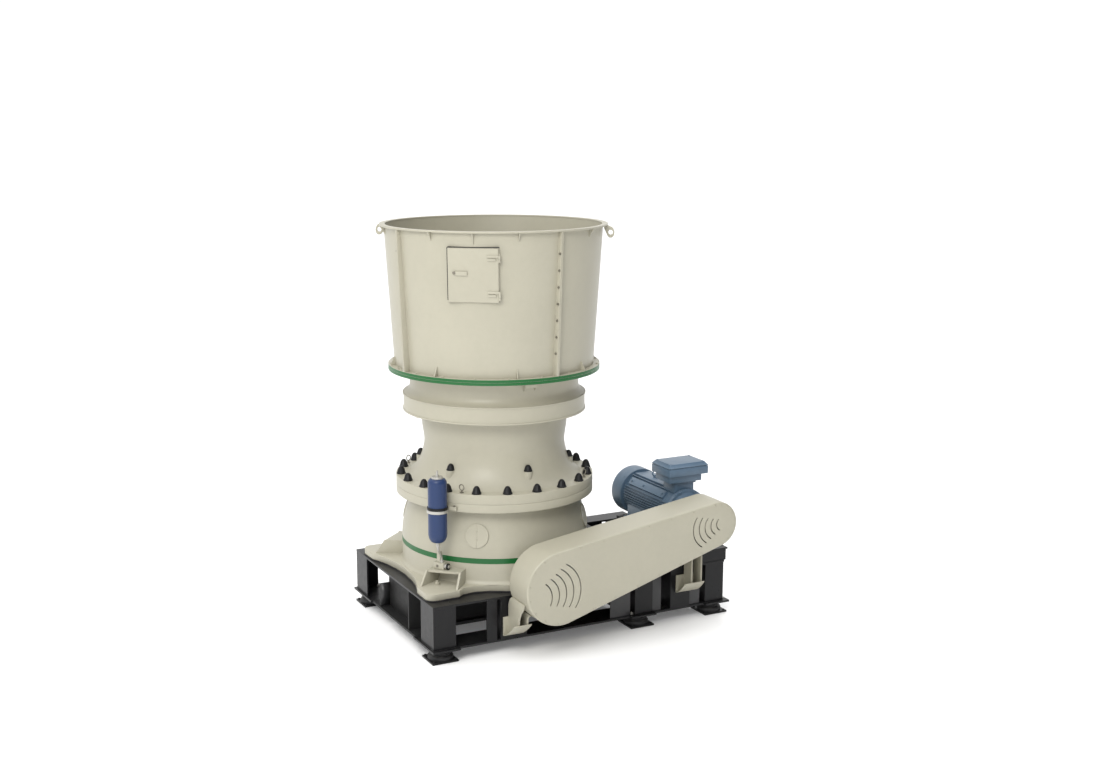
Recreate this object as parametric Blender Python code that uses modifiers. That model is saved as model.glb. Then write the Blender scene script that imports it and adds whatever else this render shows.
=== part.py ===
"""Cone crusher with its feed hopper, belt drive, motor and sub-frame, in metres, +Z up.

The crusher's vertical axis is the main datum. X runs along the sub-frame towards the
motor and -Y is the side of the belt guard.
"""

import math

import bpy
import bmesh
from mathutils import Matrix, Vector

GAP = 0.0003            # clearance that touching pieces keep
WELD = 0.0001           # merge distance of the turned bodies
ROUND = 40              # steps of the large turned bodies
INNER = 28              # steps of the turned bodies inside the machine

# Main sizes. Every other place and size below follows from these.
BARREL_R = 1.150        # straight part of the lower casing
BARREL_HEIGHT = 0.874   # from the base plate up to the casing's flange
SHELL_HEIGHT = 0.803    # upper casing above its flange
GREEN_R = 1.286         # flange that carries the hopper
HOPPER_HEIGHT = 1.663
HOPPER_FLARE = 0.1045   # how much wider the hopper is at its top
MOTOR_REACH = 0.978     # from the casing's side to the motor's axis
MOTOR_RISE = 0.324      # motor's axis above its rails
FRAME_DEPTH = 0.545     # depth of the sub-frame's girders
GUARD_DEPTH = 0.456     # belt guard from back to front

# Sub-frame, measured from the crusher's axis.
RAIL_BOTTOM = 0.145
FRAME_TOP = RAIL_BOTTOM + FRAME_DEPTH
PLATE_T = 0.025         # every plate of the frame
MOTOR_X = BARREL_R + MOTOR_REACH
GIRDER_OUT = BARREL_R + 0.100   # outer face of each long girder
TOP_W = 0.270           # width of a girder's top flange
POST_DEPTH = 0.370      # how far the posts' side plates reach inwards
FRAME_LEFT = -BARREL_R - 0.227
FRAME_RIGHT = MOTOR_X + 0.472
POSTS = (               # left edge and width of each post's outer plate
    (FRAME_LEFT, 0.283),
    (FRAME_LEFT + 0.677, 0.130),
    (FRAME_LEFT + 0.852, 0.345),
    (BARREL_R + 0.150, 0.250),
    (MOTOR_X - 0.318, 0.280),
    (MOTOR_X + 0.192, 0.270),
)
INNER_BEAM_Y = 0.465
CROSS_X = (BARREL_R + 0.162, MOTOR_X - 0.368, MOTOR_X + 0.317)
CROSS_W = 0.150
END_W = 0.160
FOOT_X = (FRAME_LEFT + 0.149, BARREL_R + 0.258, FRAME_RIGHT - 0.115)
FOOT_Y = GIRDER_OUT - 0.152
FOOT_PLATE = 0.328
FOOT_PLATE_T = 0.022
PAD_LENGTH = 0.345
PAD_Y = (GIRDER_OUT - 0.550, GIRDER_OUT + 0.050)

# Machine casing, as radii and heights about the axis, from the base plate upwards.
PACKING_T = 0.012       # sheet between the frame and the base plate
PACKING_LIP = 0.010     # how far the packing shows past the plate
BASE_T = 0.0757
PLATE_TOP = FRAME_TOP + PACKING_T + GAP + BASE_T
PLATE_HALF_X = BARREL_R + 0.210
PLATE_HALF_Y = GIRDER_OUT - 0.175
FLANGE_R = BARREL_R + 0.0625
FLANGE_BOTTOM = PLATE_TOP + BARREL_HEIGHT
FLANGE_SPLIT = FLANGE_BOTTOM + 0.100
FLANGE_TOP = FLANGE_SPLIT + 0.116
SHELL_TOP = FLANGE_TOP + SHELL_HEIGHT
RING_R = FLANGE_R - 0.0945
RING_TOP = SHELL_TOP + 0.208
NECK_R = RING_R - 0.088
NECK_T = 0.030
FLANGE_T = 0.034        # each flange between the neck and the hopper
NECK_FLANGE_BOTTOM = RING_TOP + 0.290
NECK_FLANGE_TOP = NECK_FLANGE_BOTTOM + FLANGE_T
HOPPER_FLANGE_TOP = NECK_FLANGE_TOP + FLANGE_T
HOPPER_TOP = HOPPER_FLANGE_TOP + HOPPER_HEIGHT
RIM_T = 0.020
RIM_TOP = HOPPER_TOP + RIM_T
WALL_T = 0.012
WALL_LOW_R = GREEN_R - 0.077
WALL_TOP_R = WALL_LOW_R + HOPPER_FLARE
RIM_R = WALL_TOP_R + 0.0555     # outer edge of the rim, the furthest point to the rear
HOPPER_TURN = math.radians(9.3)

# Belt drive and motor.
SHAFT_Z = PLATE_TOP + 0.083
PLATFORM_TOP = FRAME_TOP + 0.160
RAIL_TOP = PLATFORM_TOP + 0.170
MOTOR_Z = RAIL_TOP + MOTOR_RISE
GUARD_BACK = -BARREL_R - 0.171
GUARD_FRONT = GUARD_BACK - GUARD_DEPTH
GUARD_R1 = 0.441
GUARD_R2 = 0.278
GUARD_T = 0.012

# The origin is the middle of the whole footprint, so the axis stands off from it.
REACH_LEFT = FOOT_X[0] - PAD_LENGTH / 2
REACH_RIGHT = FOOT_X[2] + PAD_LENGTH / 2
AXIS_X = -(REACH_LEFT + REACH_RIGHT) / 2
AXIS_Y = -(GUARD_FRONT + RIM_R) / 2
AXIS = Vector((AXIS_X, AXIS_Y, 0.0))

CREAM = (0.60, 0.56, 0.44, 1.0)
STEEL = (0.45, 0.45, 0.46, 1.0)
BLACK = (0.03, 0.03, 0.035, 1.0)
BLUE = (0.06, 0.10, 0.30, 1.0)
SLATE = (0.14, 0.20, 0.28, 1.0)
RUBBER = (0.02, 0.02, 0.02, 1.0)
MANGANESE = (0.25, 0.24, 0.23, 1.0)


def clear_scene():
    for obj in list(bpy.data.objects):
        bpy.data.objects.remove(obj, do_unlink=True)


def new_collection(name):
    made = bpy.data.collections.new(name)
    bpy.context.scene.collection.children.link(made)
    return made


clear_scene()
PARTS = new_collection("cone_crusher")
TOOLS = new_collection("helpers")


def paint(name, colour, rough, metal):
    made = bpy.data.materials.new(name)
    made.use_nodes = True
    shader = made.node_tree.nodes["Principled BSDF"]
    shader.inputs["Base Color"].default_value = colour
    shader.inputs["Roughness"].default_value = rough
    shader.inputs["Metallic"].default_value = metal
    return made


LOOKS = {
    "cream": (CREAM, 0.45, 0.0),
    "steel": (STEEL, 0.35, 1.0),
    "black": (BLACK, 0.50, 0.0),
    "blue": (BLUE, 0.35, 0.0),
    "slate": (SLATE, 0.45, 0.0),
    "rubber": (RUBBER, 0.80, 0.0),
    "manganese": (MANGANESE, 0.55, 1.0),
}


def keep(obj, look):
    """Makes the object a part of the machine, with its own material."""
    obj.data.materials.clear()
    obj.data.materials.append(paint(obj.name + "_" + look, *LOOKS[look]))
    for held in list(obj.users_collection):
        held.objects.unlink(obj)
    PARTS.objects.link(obj)
    obj.hide_render = False
    obj.display_type = "TEXTURED"
    return obj


def hold(name, mesh):
    """A helper object, out of the render, that Booleans can use."""
    obj = bpy.data.objects.new(name, mesh)
    TOOLS.objects.link(obj)
    obj.hide_render = True
    obj.display_type = "WIRE"
    return obj


def from_bmesh(name, shape):
    bmesh.ops.recalc_face_normals(shape, faces=shape.faces)
    mesh = bpy.data.meshes.new(name)
    shape.to_mesh(mesh)
    shape.free()
    return hold(name, mesh)


def place(obj, at, turn=0.0):
    """Puts a shape drawn about the crusher's axis at a point, turned about the vertical."""
    obj.matrix_world = (
        Matrix.Translation(AXIS + Vector(at)) @ Matrix.Rotation(turn, 4, "Z")
    )
    return obj


def box(name, low, high, at=(0.0, 0.0, 0.0), turn=0.0):
    shape = bmesh.new()
    size = Vector(high) - Vector(low)
    middle = (Vector(high) + Vector(low)) / 2
    matrix = Matrix.Translation(middle) @ Matrix.Diagonal((*size, 1.0))
    bmesh.ops.create_cube(shape, size=1.0, matrix=matrix)
    return place(from_bmesh(name, shape), at, turn)


TOWARDS = {
    "Z": Matrix.Identity(4),
    "Y": Matrix.Rotation(math.radians(-90.0), 4, "X"),
    "X": Matrix.Rotation(math.radians(90.0), 4, "Y"),
}


def rod(name, radius, start, length, axis="Z", sides=24, top=None, turn=0.0):
    """A cylinder or cone from start along an axis."""
    shape = bmesh.new()
    upper = radius if top is None else top
    matrix = TOWARDS[axis] @ Matrix.Translation((0.0, 0.0, length / 2))
    bmesh.ops.create_cone(
        shape,
        cap_ends=True,
        segments=sides,
        radius1=radius,
        radius2=upper,
        depth=length,
        matrix=Matrix.Translation(start) @ matrix,
    )
    return place(from_bmesh(name, shape), (0.0, 0.0, 0.0), turn)


def turned(name, profile, steps=ROUND):
    """A body of revolution about the crusher's axis. The profile runs down its outer side."""
    mesh = bpy.data.meshes.new(name)
    points = [(r, 0.0, z) for r, z in profile]
    count = len(points)
    closed = profile[0][0] > 0.0 or profile[-1][0] > 0.0
    edges = [(i, i + 1) for i in range(count - 1)]
    if closed:
        edges.append((count - 1, 0))
    mesh.from_pydata(points, edges, [])
    obj = hold(name, mesh)
    screw = obj.modifiers.new("turn", "SCREW")
    screw.axis = "Z"
    screw.angle = math.tau
    screw.steps = steps
    screw.render_steps = steps
    screw.use_merge_vertices = True
    screw.merge_threshold = WELD
    screw.use_normal_calculate = True
    graph = bpy.context.evaluated_depsgraph_get()
    made = bpy.data.meshes.new_from_object(obj.evaluated_get(graph))
    bpy.data.objects.remove(obj, do_unlink=True)
    shape = bmesh.new()
    shape.from_mesh(made)
    return place(from_bmesh(name, shape), (0.0, 0.0, 0.0))


def outline_plate(name, outline, thick, frame):
    """A flat outline given a thickness, then put where the frame matrix says."""
    curve = bpy.data.curves.new(name, "CURVE")
    curve.dimensions = "2D"
    curve.fill_mode = "BOTH"
    curve.extrude = thick / 2
    spline = curve.splines.new("POLY")
    spline.points.add(len(outline) - 1)
    for point, (x, y) in zip(spline.points, outline):
        point.co = (x, y, 0.0, 1.0)
    spline.use_cyclic_u = True
    flat = bpy.data.objects.new(name, curve)
    TOOLS.objects.link(flat)
    graph = bpy.context.evaluated_depsgraph_get()
    mesh = bpy.data.meshes.new_from_object(flat.evaluated_get(graph))
    bpy.data.objects.remove(flat, do_unlink=True)
    shape = bmesh.new()
    shape.from_mesh(mesh)
    bmesh.ops.remove_doubles(shape, verts=shape.verts, dist=1e-5)
    bmesh.ops.transform(shape, matrix=frame, verts=shape.verts)
    return place(from_bmesh(name, shape), (0.0, 0.0, 0.0))


def upright(y):
    """Puts a drawing made in X and Z at this Y."""
    return Matrix.Translation((0.0, y, 0.0)) @ Matrix.Rotation(math.radians(90.0), 4, "X")


def radial(angle, offset=0.0):
    """Puts a drawing made in radius and height in the vertical plane at this angle."""
    return (
        Matrix.Rotation(angle, 4, "Z")
        @ Matrix.Translation((0.0, offset, 0.0))
        @ Matrix.Rotation(math.radians(90.0), 4, "X")
    )


def boolean(target, other, how):
    step = target.modifiers.new(how.lower() + "_" + other.name, "BOOLEAN")
    step.operation = how
    step.object = other
    step.solver = "EXACT"
    return target


def add(target, *others):
    for other in others:
        boolean(target, other, "UNION")
    return target


def cut(target, *others):
    for other in others:
        boolean(target, other, "DIFFERENCE")
    return target


def smooth(obj, degrees=32.0):
    """Smooth shading with sharp edges kept where faces turn by more than the angle."""
    graph = bpy.context.evaluated_depsgraph_get()
    mesh = bpy.data.meshes.new_from_object(obj.evaluated_get(graph))
    obj.modifiers.clear()
    obj.data = mesh
    mesh.shade_smooth()
    mesh.set_sharp_from_angle(angle=math.radians(degrees))
    return obj


def arc(cx, cy, radius, start, end, steps):
    """Points of an arc, in degrees."""
    made = []
    for i in range(steps + 1):
        angle = math.radians(start + (end - start) * i / steps)
        made.append((cx + radius * math.cos(angle), cy + radius * math.sin(angle)))
    return made


def finish(obj, look, name=None):
    """Joins the shape's steps into one mesh and keeps it as a part."""
    if name is not None:
        obj.name = name
    return keep(smooth(obj), look)


def set_frame(obj, frame):
    """Puts a moving part's origin and axes on its joint, with the shape left where it is."""
    matrix = Matrix.Translation(AXIS) @ frame
    obj.data.transform(matrix.inverted() @ obj.matrix_world)
    obj.matrix_world = matrix
    return obj


# Sub-frame.


def girder(name, side):
    """One long side: a flange above and below, and angle posts of two plates each."""
    low = RAIL_BOTTOM + GAP
    lap = PLATE_T / 2

    def slab(tag, x, y, z):
        """A box given by its ranges, with Y measured outwards from the axis."""
        ys = sorted((side * y[0], side * y[1]))
        return box(f"{name}_{tag}", (x[0], ys[0], z[0]), (x[1], ys[1], z[1]))

    body = slab("top", (FRAME_LEFT, FRAME_RIGHT), (GIRDER_OUT - TOP_W, GIRDER_OUT),
                (FRAME_TOP - PLATE_T, FRAME_TOP))
    body.name = name
    bottom = slab("bottom", (FRAME_LEFT, FRAME_RIGHT), (GIRDER_OUT - POST_DEPTH, GIRDER_OUT),
                  (low, low + PLATE_T))
    for i, (left, width) in enumerate(POSTS):
        add(body, slab(f"post_{i}", (left + 0.001, left + width), (GIRDER_OUT - PLATE_T,
                       GIRDER_OUT - 0.001), (low + lap, FRAME_TOP - lap)))
        if width > 0.2:
            add(body, slab(f"side_{i}", (left + 0.001, left + PLATE_T),
                           (GIRDER_OUT - POST_DEPTH + 0.001, GIRDER_OUT - lap),
                           (low + lap, FRAME_TOP - lap)))
    end = FRAME_RIGHT - 0.011
    add(body, slab("end", (end - PLATE_T, end), (GIRDER_OUT - POST_DEPTH + 0.001,
                   GIRDER_OUT - lap), (low + lap, FRAME_TOP - lap)))
    add(body, bottom)
    for i, x in enumerate(FOOT_X):
        add(body, slab(f"pad_{i}", (x - PAD_LENGTH / 2, x + PAD_LENGTH / 2), PAD_Y,
                       (low + 0.001, low + PLATE_T - 0.001)))
    ends = [(x - CROSS_W / 2, x + CROSS_W / 2) for x in CROSS_X]
    ends.append((FRAME_LEFT, FRAME_LEFT + END_W))
    for i, x in enumerate(ends):
        add(body, slab(f"ear_{i}", x, (GIRDER_OUT - POST_DEPTH, GIRDER_OUT - TOP_W + 0.010),
                       (FRAME_TOP - PLATE_T + 0.0005, FRAME_TOP - 0.0005)))
    return finish(body, "black")


def cross_strip(name, x0, x1, reach, z0, z1):
    """A flat bar across the frame between the two girders."""
    return box(name, (x0, -reach, z0), (x1, reach, z1))


def build_frame():
    girder("front_girder", -1)
    girder("rear_girder", 1)
    low = RAIL_BOTTOM + GAP
    reach = PAD_Y[0] - GAP
    post_reach = GIRDER_OUT - POST_DEPTH - GAP
    left = FRAME_LEFT
    finish(cross_strip("end_strip_top", left, left + END_W, post_reach,
                       FRAME_TOP - PLATE_T, FRAME_TOP), "black")
    finish(cross_strip("end_strip_bottom", left, left + END_W, reach,
                       low, low + PLATE_T), "black")
    first = CROSS_X[0]
    for name, y in (("inner_beam_front", -INNER_BEAM_Y), ("inner_beam_rear", INNER_BEAM_Y)):
        start = left + 0.015
        beam = box(name, (start, y - PLATE_T / 2, low + PLATE_T + GAP),
                   (first - PLATE_T, y + PLATE_T / 2, FRAME_TOP - PLATE_T - GAP))
        inside = left + END_W + GAP
        for tag, z0 in (("top", FRAME_TOP - 1.5 * PLATE_T), ("low", low)):
            add(beam, box(f"{name}_{tag}", (inside, y - 0.070, z0),
                          (first - 0.080, y + 0.070, z0 + 1.5 * PLATE_T)))
        finish(beam, "black")
    for name, x in zip(("cross_beam_centre", "cross_beam_motor", "cross_beam_right"), CROSS_X):
        half = CROSS_W / 2
        beam = cross_strip(name, x - half, x + half, post_reach, FRAME_TOP - PLATE_T, FRAME_TOP)
        add(
            beam,
            box(name + "_web", (x - PLATE_T / 2, -post_reach, low + 0.010),
                (x + PLATE_T / 2, post_reach, FRAME_TOP - 0.010)),
            cross_strip(name + "_low", x - half, x + half, reach, low, low + PLATE_T),
        )
        if x != CROSS_X[1]:
            clear = GAP
            for i, foot in enumerate(FOOT_X[1:]):
                for side in (-1, 1):
                    y0, y1 = sorted((side * (PAD_Y[0] - clear), side * 1.400))
                    cut(beam, box(f"{name}_notch_{i}_{side}",
                                  (foot - PAD_LENGTH / 2 - clear, y0, low - 0.010),
                                  (foot + PAD_LENGTH / 2 + clear, y1, low + PLATE_T + clear)))
        finish(beam, "black")
    for x, where in zip(FOOT_X, ("left", "middle", "right")):
        isolator("isolator_front_" + where, x, -FOOT_Y)
        isolator("isolator_rear_" + where, x, FOOT_Y)


def isolator(name, x, y):
    """A foot: a square floor plate with a ribbed rubber block and its steel cap."""
    body = box(name, (x - FOOT_PLATE / 2, y - FOOT_PLATE / 2, 0.0),
               (x + FOOT_PLATE / 2, y + FOOT_PLATE / 2, FOOT_PLATE_T))
    profile = (
        (0.0, RAIL_BOTTOM),
        (0.118, RAIL_BOTTOM),
        (0.122, RAIL_BOTTOM - 0.022),
        (0.138, RAIL_BOTTOM - 0.038),
        (0.124, RAIL_BOTTOM - 0.062),
        (0.149, RAIL_BOTTOM - 0.082),
        (0.150, FOOT_PLATE_T / 2),
        (0.0, FOOT_PLATE_T / 2),
    )
    rubber = turned(name + "_rubber", profile, steps=16)
    add(body, place(rubber, (x, y, 0.0)))
    return finish(body, "rubber")


# Lower casing.


CORNER_R = 0.110
FOOT_ANGLE = math.radians(142.3)
GUSSET_TOP = PLATE_TOP + 0.172


def base_outline(lip=0.0):
    """The base plate from above: four feet with a hollow edge between each two."""
    points = []
    corner = []
    cx = PLATE_HALF_X - CORNER_R
    cy = PLATE_HALF_Y - CORNER_R
    corner.append((PLATE_HALF_X - 0.006, 0.740))
    corner.extend(arc(cx, cy, CORNER_R, 0.0, 90.0, 5))
    corner.append((PLATE_HALF_X - 0.400, PLATE_HALF_Y - 0.010))
    side = [(0.145, 0.0), (0.130, 0.250), (0.098, 0.450), (0.055, 0.600), (0.020, 0.690)]
    side = [(PLATE_HALF_X - inwards, y) for inwards, y in side]
    front = [(0.654, -0.065), (0.544, -0.090), (0.412, -0.045), (0.243, 0.085), (0.0, 0.110)]
    front = [(PLATE_HALF_X * share, PLATE_HALF_Y + out) for share, out in front]
    quarter = [(x + lip, y + lip) for x, y in side + corner + front]
    quarter[0] = (side[0][0] + lip, 0.0)
    quarter[-1] = (0.0, front[-1][1] + lip)
    for sx, sy in ((1, 1), (-1, 1), (-1, -1), (1, -1)):
        turn = [(sx * x, sy * y) for x, y in quarter]
        if sx * sy < 0:
            turn.reverse()
        points.extend(turn[:-1] if turn[-1][0] * turn[-1][1] == 0.0 else turn)
    return points


def foot_gussets(angle, tag):
    """Two upright plates and the ledge between them, over one foot."""
    made = []
    inner, outer = BARREL_R - 0.050, BARREL_R + 0.180
    top, low = GUSSET_TOP, PLATE_TOP - 0.02
    outline = [(inner, low), (outer + 0.125, low), (outer, top), (inner, top)]
    spread = math.radians(8.6)
    for side in (-1, 1):
        frame = radial(angle + side * spread)
        made.append(outline_plate(f"gusset_{tag}_{side}", outline, 0.030, frame))
    edge, ledge_top = outer - 0.005, top - 0.002
    ledge = [(inner, top - 0.030), (edge, top - 0.030), (edge, ledge_top), (inner, ledge_top)]
    made.append(outline_plate(f"ledge_{tag}", ledge, 0.375, radial(angle)))
    return made


BARREL_LINE = (         # distance in from the barrel's radius, and down from the flange
    (0.105, 0.0),
    (0.094, 0.085),
    (0.046, 0.264),
    (0.009, 0.420),
    (0.0, 0.532),
)


def barrel_line(clear=0.0):
    """The casing's outer line from the flange down to the straight barrel."""
    return [(BARREL_R - inwards + clear, FLANGE_BOTTOM - down) for inwards, down in BARREL_LINE]


def build_lower_casing():
    z0 = FRAME_TOP + PACKING_T + GAP
    profile = [
        (0.0, FLANGE_SPLIT),
        (FLANGE_R, FLANGE_SPLIT),
        (FLANGE_R, FLANGE_BOTTOM + 0.010),
        (FLANGE_R - 0.010, FLANGE_BOTTOM),
        *barrel_line(),
        (BARREL_R, PLATE_TOP - 0.030),
        (0.0, PLATE_TOP - 0.030),
    ]
    body = turned("bottom_shell", profile)
    plate = outline_plate(
        "base_plate", base_outline(), PLATE_TOP - z0,
        Matrix.Translation((0.0, 0.0, (PLATE_TOP + z0) / 2)),
    )
    add(body, plate)
    for tag, angle in (("a", FOOT_ANGLE), ("b", math.pi - FOOT_ANGLE),
                       ("c", -FOOT_ANGLE), ("d", FOOT_ANGLE - math.pi)):
        add(body, *foot_gussets(angle, tag))
    finish(body, "cream")
    packing = outline_plate(
        "base_packing", base_outline(PACKING_LIP), PACKING_T - GAP,
        Matrix.Translation((0.0, 0.0, z0 - GAP - (PACKING_T - GAP) / 2)),
    )
    finish(packing, "rubber")
    for where, degrees in (("front", -126.5), ("left", 143.5), ("rear", 53.5), ("right", -36.5)):
        shell_cover("shell_cover_" + where, math.radians(degrees))


COVER_Z = FLANGE_BOTTOM - 0.307
COVER_R = 0.143
COVER_SEAT = BARREL_R - 0.032


def shell_cover(name, angle):
    """A round inspection cover on a short stub of the barrel wall."""
    lean = math.radians(15.0)
    shape = bmesh.new()
    matrix = (
        Matrix.Rotation(angle, 4, "Z")
        @ Matrix.Translation((COVER_SEAT, 0.0, COVER_Z))
        @ Matrix.Rotation(lean, 4, "Y")
        @ TOWARDS["X"]
    )
    bmesh.ops.create_cone(
        shape, cap_ends=True, segments=32, radius1=COVER_R, radius2=COVER_R,
        depth=0.060, matrix=matrix,
    )
    body = place(from_bmesh(name, shape), (0.0, 0.0, 0.0))
    line = barrel_line(GAP)
    bottom = PLATE_TOP + GAP
    seat_line = [(0.0, FLANGE_BOTTOM), *line, (line[-1][0], bottom), (0.0, bottom)]
    cut(body, turned(name + "_seat", seat_line))
    return finish(body, "cream")


# Upper casing and crushing chamber.


BOSS_R = FLANGE_R - 0.2975
BOSS_TOP = FLANGE_TOP + 0.192
BOSS_HALF = 0.052


def chamber(z):
    """Inner radius of the upper casing at a height."""
    low, high = FLANGE_SPLIT, SHELL_TOP
    share = (z - low) / (high - low)
    return FLANGE_R - 0.2825 - 0.270 * share


SHELL_LINE = (          # distance in from the flange's radius, and share of the height
    (0.3175, 1.0),
    (0.3245, 0.787),
    (0.3405, 0.644),
    (0.3505, 0.517),
    (0.3385, 0.401),
    (0.3125, 0.283),
    (0.2675, 0.164),
    (0.2125, 0.071),
    (0.1525, 0.0),
)


def build_upper_casing():
    low = FLANGE_SPLIT + GAP
    profile = [
        *((FLANGE_R - inwards, FLANGE_TOP + SHELL_HEIGHT * share)
          for inwards, share in SHELL_LINE),
        (FLANGE_R - 0.022, FLANGE_TOP),
        (FLANGE_R, FLANGE_TOP - 0.014),
        (FLANGE_R, low),
        (0.0, low),
    ]
    body = turned("top_shell", [(0.0, SHELL_TOP)] + profile)
    for i in range(6):
        angle = math.radians(30.0 + 60.0 * i)
        half = BOSS_HALF - 0.004
        boss = box(f"boss_{i}", (BOSS_R - 0.14, -half, FLANGE_TOP - 0.03),
                   (BOSS_R, half, BOSS_TOP - 0.006), turn=angle)
        head = rod(f"boss_head_{i}", BOSS_HALF, (BOSS_R, 0.0, FLANGE_TOP - 0.02),
                   BOSS_TOP - FLANGE_TOP + 0.02, sides=14, turn=angle)
        add(body, boss, head)
    hollow = turned("chamber_cutter", [
        (0.0, SHELL_TOP + 0.05),
        (chamber(SHELL_TOP + 0.05), SHELL_TOP + 0.05),
        (chamber(low - 0.05), low - 0.05),
        (0.0, low - 0.05),
    ], INNER)
    cut(body, hollow)
    finish(body, "cream")

    inside = GAP * 1.2
    top, foot = SHELL_TOP - 0.031, FLANGE_SPLIT + 0.023
    liner = [
        (chamber(top) - inside, top),
        (chamber(foot) - inside, foot),
        (FLANGE_R - 0.3405, foot),
        (FLANGE_R - 0.3625, foot + 0.085),
        (FLANGE_R - 0.6025, top - 0.040),
        (FLANGE_R - 0.5925, top),
    ]
    finish(turned("concave_liner", liner, INNER), "manganese")
    skirt = FLANGE_R - 0.4925
    top = SHELL_TOP - 0.141
    mantle = [
        (0.0, top),
        (0.170, top),
        (0.185, top - 0.060),
        (0.230, top - 0.090),
        (skirt * 0.597, top - 0.410),
        (skirt * 0.889, FLANGE_SPLIT + 0.108),
        (skirt, FLANGE_SPLIT + 0.048),
        (skirt, FLANGE_SPLIT + GAP),
        (0.0, FLANGE_SPLIT + GAP),
    ]
    finish(turned("mantle", mantle, INNER), "manganese")
    spider()


SPIDER_LOW = SHELL_TOP - 0.141 + GAP
SPIDER_TOP = SHELL_TOP + 0.129
SPIDER_R = FLANGE_R - 0.3325


def spider():
    """The two-armed bridge over the chamber, with its domed cap."""
    z = SHELL_TOP + GAP
    ring = turned("spider", [
        (SPIDER_R, SPIDER_TOP - 0.060),
        (SPIDER_R, z),
        (SPIDER_R - 0.200, z),
        (SPIDER_R - 0.200, SPIDER_TOP - 0.060),
    ])
    hub = turned("spider_hub", [
        (0.0, SPIDER_TOP + 0.160),
        (0.110, SPIDER_TOP + 0.148),
        (0.196, SPIDER_TOP + 0.100),
        (0.230, SPIDER_TOP),
        (0.270, SPIDER_TOP - 0.020),
        (0.270, SPIDER_LOW + 0.070),
        (0.180, SPIDER_LOW),
        (0.0, SPIDER_LOW),
    ], steps=20)
    reach = SPIDER_R - 0.100
    arms = box("spider_arms", (-reach, -0.110, z + 0.001), (reach, 0.110, SPIDER_TOP - 0.030),
               turn=HOPPER_TURN)
    add(ring, hub, arms)
    finish(ring, "cream")


# Feed neck and hopper.


def build_neck():
    z = SHELL_TOP + GAP
    finish(turned("dust_ring", [
        (RING_R, RING_TOP),
        (RING_R, z),
        (SPIDER_R + 0.010, z),
        (SPIDER_R + 0.010, RING_TOP),
    ]), "cream")
    z = RING_TOP + GAP
    neck = turned("feed_neck", [
        (GREEN_R, NECK_FLANGE_TOP),
        (GREEN_R, NECK_FLANGE_BOTTOM),
        (NECK_R, NECK_FLANGE_BOTTOM),
        (NECK_R, RING_TOP + 0.106),
        (NECK_R + 0.008, RING_TOP + 0.066),
        (NECK_R + 0.030, RING_TOP + 0.031),
        (RING_R - 0.016, z),
        (NECK_R - 0.090, z),
        (NECK_R - NECK_T, RING_TOP + 0.111),
        (NECK_R - NECK_T, NECK_FLANGE_TOP),
    ])
    finish(neck, "cream")


SEAM_REACH = 0.080
SEAM_T = 0.016
DOOR_HIGH = HOPPER_TOP - 0.163
DOOR_LOW = DOOR_HIGH - 0.617
DOOR_HALF = 0.292
DOOR_T = 0.012


def wall_r(z):
    """Outer radius of the hopper's wall at a height."""
    share = (z - HOPPER_FLANGE_TOP) / (HOPPER_TOP - HOPPER_FLANGE_TOP)
    return WALL_LOW_R + (WALL_TOP_R - WALL_LOW_R) * share


LEAN = math.atan2(WALL_TOP_R - WALL_LOW_R, HOPPER_TOP - HOPPER_FLANGE_TOP)


def door_matrix(angle):
    """The door's own frame: X out of the wall, Y across, Z up along the leaning wall."""
    middle = (DOOR_LOW + DOOR_HIGH) / 2
    return (
        Matrix.Rotation(angle, 4, "Z")
        @ Matrix.Translation((wall_r(middle), 0.0, middle))
        @ Matrix.Rotation(LEAN, 4, "Y")
    )


def door_box(name, low, high, angle):
    shape = bmesh.new()
    size = Vector(high) - Vector(low)
    middle = (Vector(high) + Vector(low)) / 2
    matrix = door_matrix(angle) @ Matrix.Translation(middle) @ Matrix.Diagonal((*size, 1.0))
    bmesh.ops.create_cube(shape, size=1.0, matrix=matrix)
    return place(from_bmesh(name, shape), (0.0, 0.0, 0.0))


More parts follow.
